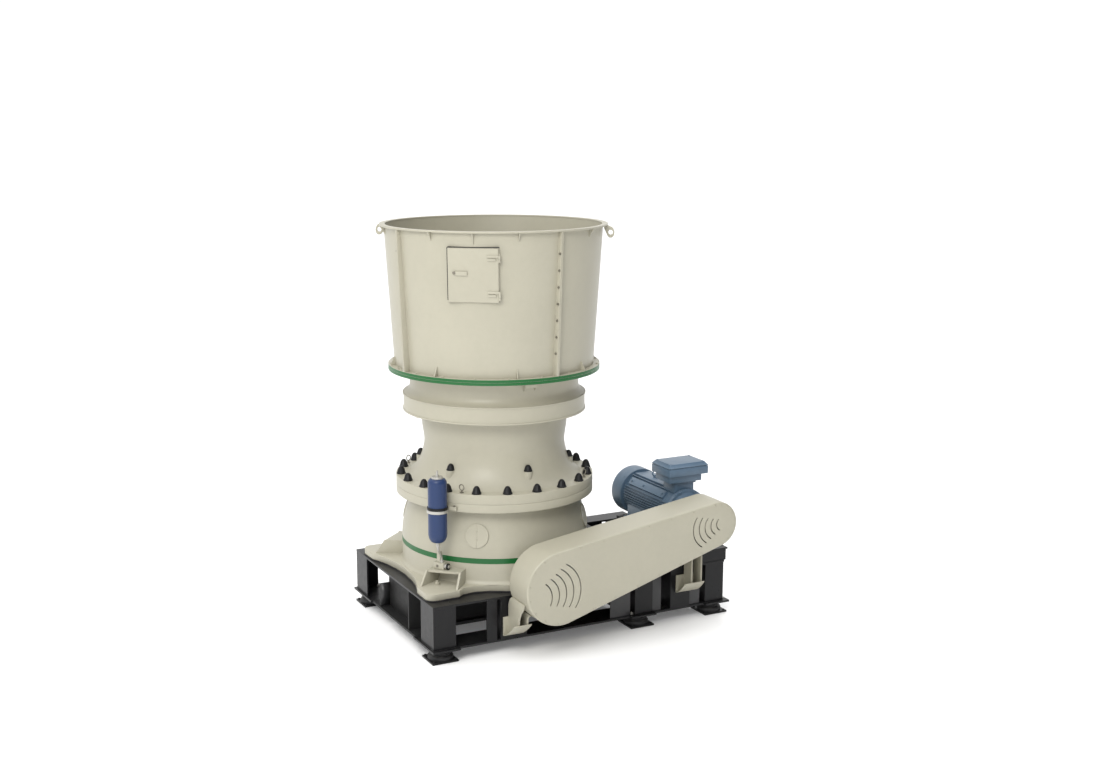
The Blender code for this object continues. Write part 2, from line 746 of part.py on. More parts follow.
def quarter(name, angle, lug_above, has_door):
    """A quarter of the hopper: curved wall, seam bars, gussets and any door frame."""
    low = HOPPER_FLANGE_TOP + GAP
    high = HOPPER_TOP - GAP
    body = turned(name, [
        (wall_r(high), high),
        (wall_r(low), low),
        (wall_r(low) - WALL_T, low),
        (wall_r(high) - WALL_T, high),
    ])
    edge = GAP / 2
    reach = 2 * WALL_TOP_R
    wedge = box(name + "_wedge", (edge, edge, low - 0.2), (reach, reach, high + 0.2),
                turn=angle - math.pi / 4)
    boolean(body, wedge, "INTERSECT")
    for side in (-1, 1):
        at = angle + side * math.pi / 4
        bar = [
            (wall_r(low) - 0.006, low),
            (wall_r(low) + SEAM_REACH, low),
            (wall_r(high) + SEAM_REACH - 0.030, high),
            (wall_r(high) - 0.006, high),
        ]
        offset = -side * (SEAM_T / 2 + edge)
        add(body, outline_plate(f"{name}_seam_{side}", bar, SEAM_T, radial(at, offset)))
    for i, step in enumerate((-22.5, 0.0, 22.5)):
        at = angle + math.radians(step)
        under_lug = step == 0.0 and lug_above
        top = [
            (wall_r(high - 0.075) - 0.006, high - 0.075),
            (wall_r(high - 0.075) + 0.004, high - 0.075),
            (wall_r(high) + 0.045, high - 0.012),
            (wall_r(high) + 0.045, high),
            (wall_r(high) - 0.006, high),
        ]
        if not under_lug:
            add(body, outline_plate(f"{name}_top_gusset_{i}", top, 0.012, radial(at)))
        if step == 0.0:
            continue
        foot = [
            (wall_r(low) - 0.006, low),
            (wall_r(low) + 0.062, low),
            (wall_r(low) + 0.062, low + 0.012),
            (wall_r(low + 0.11) + 0.004, low + 0.11),
            (wall_r(low + 0.11) - 0.006, low + 0.11),
        ]
        add(body, outline_plate(f"{name}_low_gusset_{i}", foot, 0.012, radial(at)))
    if has_door:
        half_h = (DOOR_HIGH - DOOR_LOW) / 2
        inner = 0.030
        frame = door_box(name + "_door_frame", (-0.046, -DOOR_HALF, -half_h),
                         (0.010, DOOR_HALF, half_h), angle)
        add(body, frame)
        cut(body, door_box(name + "_door_hole", (-0.200, -DOOR_HALF + inner, -half_h + inner),
                           (0.200, DOOR_HALF - inner, half_h - inner), angle))
        for z in HINGE_Z:
            knuckle = hinge_lug(f"{name}_hinge_{z:.2f}", z, angle)
            add(body, knuckle)
    return finish(body, "cream")


HINGE_Z = (-0.215, 0.215)
HINGE_X = 0.034
HINGE_Y = DOOR_HALF + 0.010
HINGE_R = 0.013
PIN_R = 0.0065
PIN_PLAY = 0.0006       # of the radius, round the hinge pins and the latch pin
KNUCKLE = 0.030


def local_rod(name, radius, x, y, z, length, angle, sides=16):
    """A cylinder along the door's own Z, centred at a point of the door's frame."""
    shape = bmesh.new()
    matrix = door_matrix(angle) @ Matrix.Translation((x, y, z))
    bmesh.ops.create_cone(shape, cap_ends=True, segments=sides, radius1=radius,
                          radius2=radius, depth=length, matrix=matrix)
    return place(from_bmesh(name, shape), (0.0, 0.0, 0.0))


def hinge_lug(name, z, angle):
    """The fixed half of a hinge: a leaf on the door frame, a lower knuckle and its pin."""
    low = z - 0.062
    leaf = door_box(name, (-0.040, HINGE_Y - 0.022, low), (0.007, HINGE_Y + 0.004, low + KNUCKLE),
                    angle)
    add(leaf, door_box(name + "_tab", (-0.020, HINGE_Y - 0.007, low + 0.001),
                       (HINGE_X, HINGE_Y + 0.003, low + KNUCKLE - 0.001), angle))
    barrel = local_rod(name + "_barrel", HINGE_R, HINGE_X, HINGE_Y, z - 0.062 + KNUCKLE / 2,
                       KNUCKLE, angle)
    pin = local_rod(name + "_pin", PIN_R, HINGE_X, HINGE_Y, z - 0.012, 0.098, angle, sides=12)
    add(leaf, barrel, pin)
    return leaf


def door(name, angle):
    """The door plate with the moving half of its hinges."""
    half_h = (DOOR_HIGH - DOOR_LOW) / 2
    front = 0.010 + GAP
    body = door_box(name, (front, -DOOR_HALF + 0.004, -half_h + 0.004),
                    (front + DOOR_T, DOOR_HALF - 0.004, half_h - 0.004), angle)
    add(body, door_box(name + "_rib", (front + DOOR_T - 0.002, -DOOR_HALF + 0.03, -half_h + 0.03),
                       (front + DOOR_T + 0.006, DOOR_HALF - 0.06, half_h - 0.03), angle))
    for z in HINGE_Z:
        low = z - 0.032 + 0.002
        strap = door_box(f"{name}_strap_{z:.2f}", (front + 0.004, DOOR_HALF - 0.120, low),
                         (HINGE_X + 0.006, HINGE_Y - 0.002, low + KNUCKLE), angle)
        barrel = local_rod(f"{name}_knuckle_{z:.2f}", HINGE_R, HINGE_X, HINGE_Y,
                           low + KNUCKLE / 2, KNUCKLE, angle)
        bore = local_rod(f"{name}_bore_{z:.2f}", PIN_R + PIN_PLAY, HINGE_X, HINGE_Y,
                         low + KNUCKLE / 2, KNUCKLE * 2, angle, sides=12)
        add(body, strap, barrel)
        cut(body, bore)
    cut(body, local_cross_rod(name + "_latch_bore", LATCH_PIN_R + PIN_PLAY, 0.0, 0.080, angle))
    finish(body, "cream")
    hinge = Matrix.Translation((HINGE_X, HINGE_Y, 0.0))
    return set_frame(body, door_matrix(angle) @ hinge)


LATCH_Y = -0.215
LATCH_Z = 0.030
LATCH_PIN_R = 0.009
LATCH_LIFT = 0.0035


def local_cross_rod(name, radius, x0, x1, angle, sides=16):
    """A cylinder out through the door at the latch's pivot."""
    shape = bmesh.new()
    matrix = (
        door_matrix(angle)
        @ Matrix.Translation(((x0 + x1) / 2, LATCH_Y, LATCH_Z))
        @ TOWARDS["X"]
    )
    bmesh.ops.create_cone(shape, cap_ends=True, segments=sides, radius1=radius,
                          radius2=radius, depth=x1 - x0, matrix=matrix)
    return place(from_bmesh(name, shape), (0.0, 0.0, 0.0))


def latch(name, angle):
    """The door's latch: outer bar with a boss, pin through the door and inner tongue."""
    face = 0.010 + GAP + DOOR_T + 0.006 + LATCH_LIFT
    body = door_box(name, (face, LATCH_Y - 0.020, LATCH_Z - 0.014),
                    (face + 0.012, LATCH_Y + 0.130, LATCH_Z + 0.014), angle)
    add(body, local_cross_rod(name + "_boss", 0.024, face - 0.001, face + 0.018, angle))
    pin = local_cross_rod(name + "_pin", LATCH_PIN_R, -0.036, 0.034, angle)
    tongue = door_box(name + "_tongue", (-0.040, LATCH_Y - 0.035, LATCH_Z - 0.012),
                      (-0.028, LATCH_Y + 0.012, LATCH_Z + 0.012), angle)
    add(body, pin, tongue)
    finish(body, "cream")
    pivot = Matrix.Translation((0.0, LATCH_Y, LATCH_Z))
    return set_frame(body, door_matrix(angle) @ pivot)


LUG_LINE = (            # outwards from the rim's edge, and up from the hopper's top
    (-0.039, 0.004),
    (-0.039, -0.030),
    (0.006, -0.125),
    (0.031, -0.145),
    (0.061, -0.140),
    (0.083, -0.110),
    (0.083, -0.060),
    (0.061, -0.020),
    (0.011, 0.004),
)


def build_hopper():
    finish(turned("hopper_base_flange", [
        (GREEN_R, HOPPER_FLANGE_TOP),
        (GREEN_R, NECK_FLANGE_TOP + GAP),
        (WALL_LOW_R - 0.059, NECK_FLANGE_TOP + GAP),
        (WALL_LOW_R - 0.059, HOPPER_FLANGE_TOP),
    ]), "cream")
    base = math.radians(-135.0) + HOPPER_TURN
    for i, name in enumerate(("front", "right", "rear", "left")):
        quarter("hopper_wall_" + name, base + i * math.pi / 2, i % 2 == 1, i == 0)
    door("inspection_door", base)
    latch("door_latch", base)
    rim = turned("hopper_rim", [
        (RIM_R, RIM_TOP),
        (RIM_R, HOPPER_TOP),
        (WALL_TOP_R - 0.0135, HOPPER_TOP),
        (WALL_TOP_R - 0.0135, RIM_TOP),
    ])
    for side, degrees in ((0, -35.7), (1, 144.3)):
        at = math.radians(degrees)
        lug = [(RIM_R + out, HOPPER_TOP + up) for out, up in LUG_LINE]
        plate = outline_plate(f"lug_{side}", lug, 0.028, radial(at))
        shape = bmesh.new()
        matrix = radial(at) @ Matrix.Translation((RIM_R + 0.039, HOPPER_TOP - 0.078, 0.0))
        bmesh.ops.create_cone(shape, cap_ends=True, segments=14, radius1=0.028,
                              radius2=0.028, depth=0.10, matrix=matrix)
        eye = place(from_bmesh(f"lug_eye_{side}", shape), (0.0, 0.0, 0.0))
        add(rim, plate)
        cut(rim, eye)
    finish(rim, "cream")


# Pressure bottle and its valve.


BOTTLE_ANGLE = math.radians(-145.0)
BOTTLE_R = 0.1120
BOTTLE_CLEAR = 0.0225   # between the bottle and the casing's flange
BOTTLE_REACH = FLANGE_R + BOTTLE_CLEAR + BOTTLE_R
CLAMP_Z = FLANGE_BOTTOM + 0.048
BOTTLE_LOW = CLAMP_Z - 0.400
BOTTLE_HIGH = CLAMP_Z + 0.370
VALVE_R = BARREL_R + 0.095
VALVE_TOP = GUSSET_TOP + 0.080
BOTTLE_STEPS = 20


def at_bottle(obj):
    x = BOTTLE_REACH * math.cos(BOTTLE_ANGLE)
    y = BOTTLE_REACH * math.sin(BOTTLE_ANGLE)
    return place(obj, (x, y, 0.0))


def build_bottle():
    low, high = BOTTLE_LOW, BOTTLE_HIGH
    bottle = turned("accumulator_bottle", [
        (0.0, high + 0.105),
        (0.020, high + 0.105),
        (0.024, high + 0.028),
        (0.062, high + 0.024),
        (0.066, high - 0.004),
        (0.098, high - 0.040),
        (BOTTLE_R, high - 0.095),
        (BOTTLE_R, low + 0.105),
        (0.092, low + 0.036),
        (0.034, low),
        (0.030, low - 0.030),
        (0.0, low - 0.030),
    ], steps=BOTTLE_STEPS)
    finish(at_bottle(bottle), "blue")
    r = BOTTLE_R + GAP
    clamp = turned("accumulator_clamp", [
        (r + 0.012, CLAMP_Z + 0.034),
        (r + 0.012, CLAMP_Z - 0.034),
        (r, CLAMP_Z - 0.034),
        (r, CLAMP_Z + 0.034),
    ], steps=BOTTLE_STEPS)
    at_bottle(clamp)
    arm = box("clamp_arm", (FLANGE_R - 0.050, -0.045, CLAMP_Z - 0.030),
              (BOTTLE_REACH - BOTTLE_R - 0.004, 0.150, CLAMP_Z + 0.030), turn=BOTTLE_ANGLE)
    add(clamp, arm)
    cut(clamp, turned("clamp_seat", [
        (0.0, CLAMP_Z + 0.100),
        (FLANGE_R + GAP, CLAMP_Z + 0.100),
        (FLANGE_R + GAP, CLAMP_Z - 0.100),
        (0.0, CLAMP_Z - 0.100),
    ]))
    finish(clamp, "cream")
    turn = BOTTLE_ANGLE
    ledge = GUSSET_TOP + GAP
    block = box("valve_block", (VALVE_R - 0.050, -0.070, ledge),
                (VALVE_R + 0.050, 0.070, VALVE_TOP), turn=turn)
    stub = rod("valve_stub", 0.034, (VALVE_R + 0.010, 0.068, VALVE_TOP - 0.042), 0.052,
               axis="Y", sides=20, turn=turn)
    add(block, stub)
    finish(block, "cream")
    pipe_low = VALVE_TOP + GAP
    pipe_high = low - 0.030 - GAP
    start = Vector((BOTTLE_REACH, 0.0, pipe_high))
    end = Vector((VALVE_R + 0.020, 0.0, pipe_low))
    path = [tuple(start)]
    for i in range(9):
        t = i / 8
        blend = t * t * (3 - 2 * t)
        path.append((start.x + (end.x - start.x) * blend, 0.0,
                     start.z - 0.030 + (end.z - start.z + 0.060) * t))
    path.append(tuple(end))
    finish(tube("accumulator_pipe", path, 0.016, turn), "cream")


def tube(name, path, radius, turn):
    """A round tube along a path, with closed ends."""
    curve = bpy.data.curves.new(name, "CURVE")
    curve.dimensions = "3D"
    curve.bevel_depth = radius
    curve.bevel_resolution = 2
    curve.use_fill_caps = True
    spline = curve.splines.new("POLY")
    spline.points.add(len(path) - 1)
    for point, (x, y, z) in zip(spline.points, path):
        point.co = (x, y, z, 1.0)
    line = bpy.data.objects.new(name, curve)
    TOOLS.objects.link(line)
    graph = bpy.context.evaluated_depsgraph_get()
    mesh = bpy.data.meshes.new_from_object(line.evaluated_get(graph))
    bpy.data.objects.remove(line, do_unlink=True)
    shape = bmesh.new()
    shape.from_mesh(mesh)
    bmesh.ops.remove_doubles(shape, verts=shape.verts, dist=1e-5)
    return place(from_bmesh(name, shape), (0.0, 0.0, 0.0), turn)


# Belt drive.


SPAN = Vector((MOTOR_X, MOTOR_Z - SHAFT_Z))


def belt_outline(r1, r2, steps=14):
    """The line of a belt round two wheels, drawn in X and Z."""
    base = math.atan2(SPAN.y, SPAN.x)
    lead = math.acos((r1 - r2) / SPAN.length)
    low, high = math.degrees(base - lead), math.degrees(base + lead)
    points = arc(0.0, SHAFT_Z, r1, high, low + 360.0, steps)
    points.extend(arc(MOTOR_X, MOTOR_Z, r2, low, high, steps))
    return points


PULLEY_R1 = 0.345
PULLEY_R2 = 0.190
PULLEY_Y = (GUARD_FRONT + 0.072, GUARD_BACK - 0.094)
BELT_T = 0.022
BELT_STEPS = 14


def arc_slot(name, three, width):
    """A curved slot through three points of the guard's face."""
    (x1, z1), (x2, z2), (x3, z3) = three
    d = 2 * (x1 * (z2 - z3) + x2 * (z3 - z1) + x3 * (z1 - z2))
    s1, s2, s3 = x1 * x1 + z1 * z1, x2 * x2 + z2 * z2, x3 * x3 + z3 * z3
    cx = (s1 * (z2 - z3) + s2 * (z3 - z1) + s3 * (z1 - z2)) / d
    cz = (s1 * (x3 - x2) + s2 * (x1 - x3) + s3 * (x2 - x1)) / d
    radius = math.hypot(x1 - cx, z1 - cz)
    first = math.degrees(math.atan2(z1 - cz, x1 - cx))
    middle = math.degrees(math.atan2(z2 - cz, x2 - cx))
    last = math.degrees(math.atan2(z3 - cz, x3 - cx))
    while middle - first > 180.0:
        middle -= 360.0
    while middle - first < -180.0:
        middle += 360.0
    while last - middle > 180.0:
        last -= 360.0
    while last - middle < -180.0:
        last += 360.0
    outer = arc(cx, cz, radius + width / 2, first, last, SLOT_STEPS)
    inner = arc(cx, cz, radius - width / 2, last, first, SLOT_STEPS)
    return outline_plate(name, outer + inner, 0.060, upright(GUARD_FRONT + GUARD_T / 2))


SLOT_W = 0.010
SLOT_STEPS = 4
LEFT_SLOTS = (          # from the crusher's shaft
    ((-0.207, 0.089), (-0.121, -0.060), (-0.145, -0.179)),
    ((0.058, 0.289), (0.253, -0.030), (0.183, -0.250)),
)
RIGHT_SLOTS = (         # from the motor's shaft
    ((-0.294, 0.128), (-0.347, -0.021), (-0.214, -0.250)),
    ((0.011, 0.067), (-0.015, 0.013), (0.032, -0.070)),
)
SLOT_COUNT = 5


def slots():
    """Five curved ventilation slots at each end of the guard's face."""
    made = []
    for tag, (first, last), x, z in (("left", LEFT_SLOTS, 0.0, SHAFT_Z),
                                     ("right", RIGHT_SLOTS, MOTOR_X, MOTOR_Z)):
        for i in range(SLOT_COUNT):
            t = i / (SLOT_COUNT - 1)
            three = tuple(
                (x + a[0] + (b[0] - a[0]) * t, z + a[1] + (b[1] - a[1]) * t)
                for a, b in zip(first, last)
            )
            made.append(arc_slot(f"slot_{tag}_{i}", three, SLOT_W))
    return made


def build_drive():
    front, back = GUARD_FRONT, GUARD_BACK
    shell = outline_plate("guard_shell", belt_outline(GUARD_R1, GUARD_R2),
                          back - front - GUARD_T - GAP,
                          upright((front + back - GUARD_T - GAP) / 2))
    edge = shell.modifiers.new("soft_edge", "BEVEL")
    edge.width = 0.012
    edge.segments = 1
    edge.limit_method = "ANGLE"
    edge.angle_limit = math.radians(60.0)
    inner = outline_plate("guard_hollow", belt_outline(GUARD_R1 - GUARD_T, GUARD_R2 - GUARD_T),
                          0.600, upright(front + GUARD_T + 0.300))
    cut(shell, inner, *slots())
    finish(shell, "cream")

    plate = outline_plate("guard_back", belt_outline(GUARD_R1, GUARD_R2), GUARD_T,
                          upright(back - GUARD_T / 2))
    holes = [
        rod("guard_hole_1", 0.150, (0.0, back - 0.10, SHAFT_Z), 0.20, axis="Y"),
        rod("guard_hole_2", 0.085, (MOTOR_X, back - 0.10, MOTOR_Z), 0.20, axis="Y"),
    ]
    cut(plate, *holes)
    finish(plate, "cream")

    y0, y1 = PULLEY_Y
    flange_y = -BARREL_R - 0.090
    house_y = flange_y - 0.060
    big = rod("crusher_pulley", PULLEY_R1, (0.0, y0, SHAFT_Z), y1 - y0, axis="Y", sides=28)
    add(big, rod("crusher_shaft", 0.070, (0.0, y0 - 0.020, SHAFT_Z), house_y - GAP - y0 + 0.020,
                 axis="Y", sides=12))
    cut(big, ring_cutter("pulley_face", 0.0, SHAFT_Z, 0.150, 0.290, y0 - 0.001, 0.070))
    finish(big, "steel")
    end_y = MOTOR_FRONT - GAP
    small = rod("motor_pulley", PULLEY_R2, (MOTOR_X, y0, MOTOR_Z), y1 - y0, axis="Y", sides=24)
    add(small, rod("motor_shaft", 0.045, (MOTOR_X, y0 - 0.010, MOTOR_Z), end_y - y0 + 0.010,
                   axis="Y", sides=12))
    finish(small, "steel")

    facet = math.cos(math.radians(95.0) / BELT_STEPS)
    r1, r2 = PULLEY_R1 / facet + GAP, PULLEY_R2 / facet + GAP
    width = y1 - y0 - 0.024
    middle = (y0 + y1) / 2
    outer = belt_outline(r1 + BELT_T, r2 + BELT_T, BELT_STEPS)
    belt = outline_plate("drive_belt", outer, width, upright(middle))
    inner = belt_outline(r1, r2, BELT_STEPS)
    cut(belt, outline_plate("belt_inside", inner, width * 2, upright(middle)))
    finish(belt, "rubber")

    house = rod("countershaft_housing", 0.200, (0.0, flange_y, SHAFT_Z), 0.300, axis="Y",
                sides=36)
    add(house,
        rod("housing_nose", 0.140, (0.0, house_y, SHAFT_Z), 0.100, axis="Y", sides=32),
        rod("housing_flange", 0.255, (0.0, flange_y, SHAFT_Z), 0.040, axis="Y", sides=36))
    above, below = SHAFT_Z + 0.440, SHAFT_Z - 0.360
    trim = turned("housing_seat", [
        (0.0, above),
        (BARREL_R + GAP, above),
        (BARREL_R + GAP, below),
        (0.0, below),
    ])
    keep_front = box("housing_front", (-0.5, flange_y - 0.006, below), (0.5, 0.0, PLATE_TOP + GAP))
    cut(house, trim, keep_front)
    finish(house, "cream")
    guard_brackets()


def ring_cutter(name, x, z, r_in, r_out, y, depth):
    """A ring-shaped recess in a wheel's outer face."""
    body = rod(name, r_out, (x, y - 0.05, z), depth + 0.05, axis="Y", sides=24)
    cut(body, rod(name + "_core", r_in, (x, y - 0.10, z), depth + 0.20, axis="Y", sides=20))
    return body


BRACKET_BACK = -GIRDER_OUT - GAP + 0.001


def guard_brackets():
    """The two cradles that carry the guard from the front girder."""
    front = GUARD_FRONT + 0.137
    reach = 3 * GUARD_R1
    high = FRAME_TOP - 0.080
    for name, x0, x1, low, legs, top in (
        ("guard_bracket_left", -0.520, -0.190, FRAME_TOP - 0.470, (0.100, 0.270), SHAFT_Z),
        ("guard_bracket_right", MOTOR_X - 0.278, MOTOR_X + 0.092, FRAME_TOP - 0.290,
         (0.130, 0.340), MOTOR_Z),
    ):
        z0 = low + 0.080
        shelf = box(name, (x0, front, z0), (x1, BRACKET_BACK, z0 + 0.030))
        add(shelf, box(name + "_wall", (x0, BRACKET_BACK - 0.020, low), (x1, BRACKET_BACK, high)))
        for i, step in enumerate(legs):
            leg = box(f"{name}_leg_{i}", (x0 + step - 0.012, front + 0.040, z0 + 0.010),
                      (x0 + step + 0.012, GUARD_BACK - 0.024, top))
            add(shelf, leg)
        grow = GUARD_R1 + GAP, GUARD_R2 + GAP
        cut(shelf, outline_plate(name + "_trim", belt_outline(*grow), 2 * GUARD_DEPTH,
                                 upright(front)))
        cut(shelf, box(name + "_above", (x0 - reach, front - reach, top - 0.190),
                       (x0 + reach, 0.0, top + reach)))
        finish(shelf, "cream")


# Motor.


MOTOR_FRONT = GUARD_BACK + 0.191
MOTOR_LENGTH = 1.050
MOTOR_BODY = (MOTOR_FRONT + 0.090, MOTOR_FRONT + 0.090 + MOTOR_LENGTH)
COWL_BACK = MOTOR_BODY[1] + 0.252
MOTOR_R = 0.262
COWL_R = 0.288
PLATFORM_Y = (-GIRDER_OUT, COWL_BACK + 0.058)
BOX_LOW = MOTOR_Z + 0.396


def build_motor():
    y0, y1 = MOTOR_BODY
    body = rod("motor_body", MOTOR_R, (MOTOR_X, y0, MOTOR_Z), y1 - y0, axis="Y", sides=40)
    fins = 36
    for i in range(fins):
        angle = math.tau * (i + 0.5) / fins
        if abs(math.degrees(angle) % 360.0 - 270.0) < 34.0:
            continue
        if abs(math.degrees(angle) % 360.0 - 90.0) < 26.0:
            continue
        shape = bmesh.new()
        matrix = (
            Matrix.Translation((MOTOR_X, (y0 + y1) / 2, MOTOR_Z))
            @ Matrix.Rotation(-angle, 4, "Y")
            @ Matrix.Translation((MOTOR_R + 0.006, 0.0, 0.0))
            @ Matrix.Diagonal((0.036, y1 - y0 - 0.060, 0.008, 1.0))
        )
        bmesh.ops.create_cube(shape, size=1.0, matrix=matrix)
        add(body, place(from_bmesh(f"fin_{i}", shape), (0.0, 0.0, 0.0)))
    for side in (-1, 1):
        x = MOTOR_X + side * 0.215
        add(body, box(f"motor_foot_{side}", (x - 0.075, y0 + 0.050, RAIL_TOP + GAP),
                      (x + 0.075, y1 - 0.060, RAIL_TOP + 0.040)))
        add(body, box(f"motor_leg_{side}", (x - 0.035, y0 + 0.080, RAIL_TOP + 0.020),
                      (x + 0.020, y1 - 0.090, MOTOR_Z - 0.100)))
    add(body, box("box_neck", (MOTOR_X - 0.140, y0 + 0.020, MOTOR_Z + 0.200),
                  (MOTOR_X + 0.140, y0 + 0.280, BOX_LOW)))
    finish(body, "slate")

    shield = rod("motor_end_shield", 0.278, (MOTOR_X, y0 - GAP - 0.050, MOTOR_Z), 0.050, axis="Y",
                 sides=28)
    add(shield, rod("shield_nose", 0.200, (MOTOR_X, MOTOR_FRONT, MOTOR_Z),
                    y0 - GAP - 0.049 - MOTOR_FRONT, axis="Y", sides=28, top=0.240))
    finish(shield, "slate")

    cowl = rod("motor_fan_cowl", COWL_R, (MOTOR_X, y1 + GAP, MOTOR_Z), COWL_BACK - y1 - GAP,
               axis="Y", sides=32)
    rim = cowl.modifiers.new("soft_rim", "BEVEL")
    rim.width = 0.020
    rim.segments = 1
    rim.limit_method = "ANGLE"
    rim.angle_limit = math.radians(60.0)
    finish(cowl, "slate")

    y0, y1 = MOTOR_FRONT + 0.060, MOTOR_FRONT + 0.400
    left, right = MOTOR_X - 0.243, MOTOR_X + 0.242
    terminal = box("motor_terminal_box", (left, y0, BOX_LOW + GAP), (right, y1, BOX_LOW + 0.195))
    add(terminal, box("box_lid", (left - 0.010, y0 - 0.010, BOX_LOW + 0.130),
                      (right + 0.010, y1 + 0.010, BOX_LOW + 0.215)))
    finish(terminal, "slate")

    z = FRAME_TOP + GAP
    y0, y1 = PLATFORM_Y
    platform = box("motor_platform", (MOTOR_X - 0.488, y0, PLATFORM_TOP - 0.022),
                   (MOTOR_X + 0.517, y1, PLATFORM_TOP))
    for i, (x0, x1) in enumerate(((-0.463, -0.263), (0.137, 0.497))):
        add(platform, box(f"platform_tube_{i}", (MOTOR_X + x0, y0 + 0.006, z),
                          (MOTOR_X + x1, y1 - 0.006, PLATFORM_TOP - 0.010)))
    finish(platform, "black")
    for name, x in (("motor_rail_left", MOTOR_X - 0.215), ("motor_rail_right", MOTOR_X + 0.215)):
        y0, y1 = MOTOR_BODY[0] - 0.080, MOTOR_BODY[1] + 0.110
        rail = box(name, (x - 0.080, y0, PLATFORM_TOP + GAP), (x + 0.080, y1, RAIL_TOP))
        cut(rail, box(name + "_slot", (x - 0.100, y0 + 0.060, PLATFORM_TOP + 0.035),
                      (x - 0.030, y1 - 0.060, RAIL_TOP - 0.030)))
        finish(rail, "black")


build_frame()
build_lower_casing()
build_upper_casing()
build_neck()
build_hopper()
build_bottle()
build_drive()
build_motor()

for tool in list(TOOLS.objects):
    bpy.data.objects.remove(tool, do_unlink=True)
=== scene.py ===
import math

import bmesh
import bpy
from mathutils import Matrix, Vector


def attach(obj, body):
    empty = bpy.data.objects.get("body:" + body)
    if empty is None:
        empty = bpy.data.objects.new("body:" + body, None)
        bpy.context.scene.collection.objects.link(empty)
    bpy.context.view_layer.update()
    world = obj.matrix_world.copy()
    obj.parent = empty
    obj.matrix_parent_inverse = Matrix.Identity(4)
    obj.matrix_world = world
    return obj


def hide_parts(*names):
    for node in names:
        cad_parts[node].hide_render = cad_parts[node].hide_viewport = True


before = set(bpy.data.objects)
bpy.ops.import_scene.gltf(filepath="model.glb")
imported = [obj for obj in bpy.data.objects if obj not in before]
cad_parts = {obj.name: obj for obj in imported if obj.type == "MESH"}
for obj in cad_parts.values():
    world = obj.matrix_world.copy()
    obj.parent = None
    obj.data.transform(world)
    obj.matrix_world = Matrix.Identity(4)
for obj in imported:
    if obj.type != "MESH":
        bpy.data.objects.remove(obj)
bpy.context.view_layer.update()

# The crusher's vertical axis in the row's frame. Every shape is drawn about it.
AXIS = Vector((-0.6285, 0.204, 0))

FRAME_TOP = 0.69
RAIL_BOTTOM = 0.145
GIRDER_OUT = 1.25
FOOT_X = (-1.228, 1.408, 2.485)
FOOT_Y = 1.098
FOOT_PLATE = 0.328
FOOT_PLATE_T = 0.022
PLATE_LOW = 0.7023
PLATE_TOP = 0.778
BARREL_R = 1.15
FLANGE_R = 1.2125
FLANGE_BOTTOM = 1.652
FLANGE_SPLIT = 1.752
FLANGE_TOP = 1.868
SHELL_TOP = 2.671
RING_R = 1.118
RING_TOP = 2.879
NECK_R = 1.03
NECK_FLANGE_BOTTOM = 3.169
NECK_FLANGE_TOP = 3.203
HOPPER_FLANGE_TOP = 3.237
GREEN_R = 1.286
HOPPER_TOP = 4.9
RIM_TOP = 4.92
RIM_R = 1.369
WALL_T = 0.012
HOPPER_BASE = -135 + 9.3      # middle of the quarter with the door
WALL_LOW_R = 1.209
WALL_TOP_R = 1.3135
SHAFT_Z = 0.861
MOTOR_X = 2.128
MOTOR_Z = 1.344
SCREW_PROUD = 0.008     # height of the guard's screw heads, which reach the outer face
GAP = 0.0003            # between pieces that touch
GUARD_FRONT = -1.777 + SCREW_PROUD
GUARD_BACK = -1.321
GUARD_R1 = 0.441
GUARD_R2 = 0.278
GUARD_T = 0.012
BOTTLE_ANGLE = -145
BOTTLE_REACH = 1.347
BOTTLE_R = 0.112
BOTTLE_LOW = 1.3
BOTTLE_HIGH = 2.07
CLAMP_Z = 1.7
VALVE_R = 1.245
FOOT_ANGLES = (142.3, 37.7, -142.3, -37.7)
FOOT_SPREAD = 8.6       # degrees from the middle of a foot to its gussets
FOOT_TOP = 0.95
FOOT_END_R = 1.385      # reach of a foot's gusset towards the frame's end, and towards its side
FOOT_SIDE_R = 1.31
ANCHOR_ANGLES = (145.95, 34.05, -145.95, -34.05)
STUDIO = bpy.data.collections.new("studio")
bpy.context.scene.collection.children.link(STUDIO)
PIECES = bpy.data.collections.new("pieces")
bpy.context.scene.collection.children.link(PIECES)


# Materials.


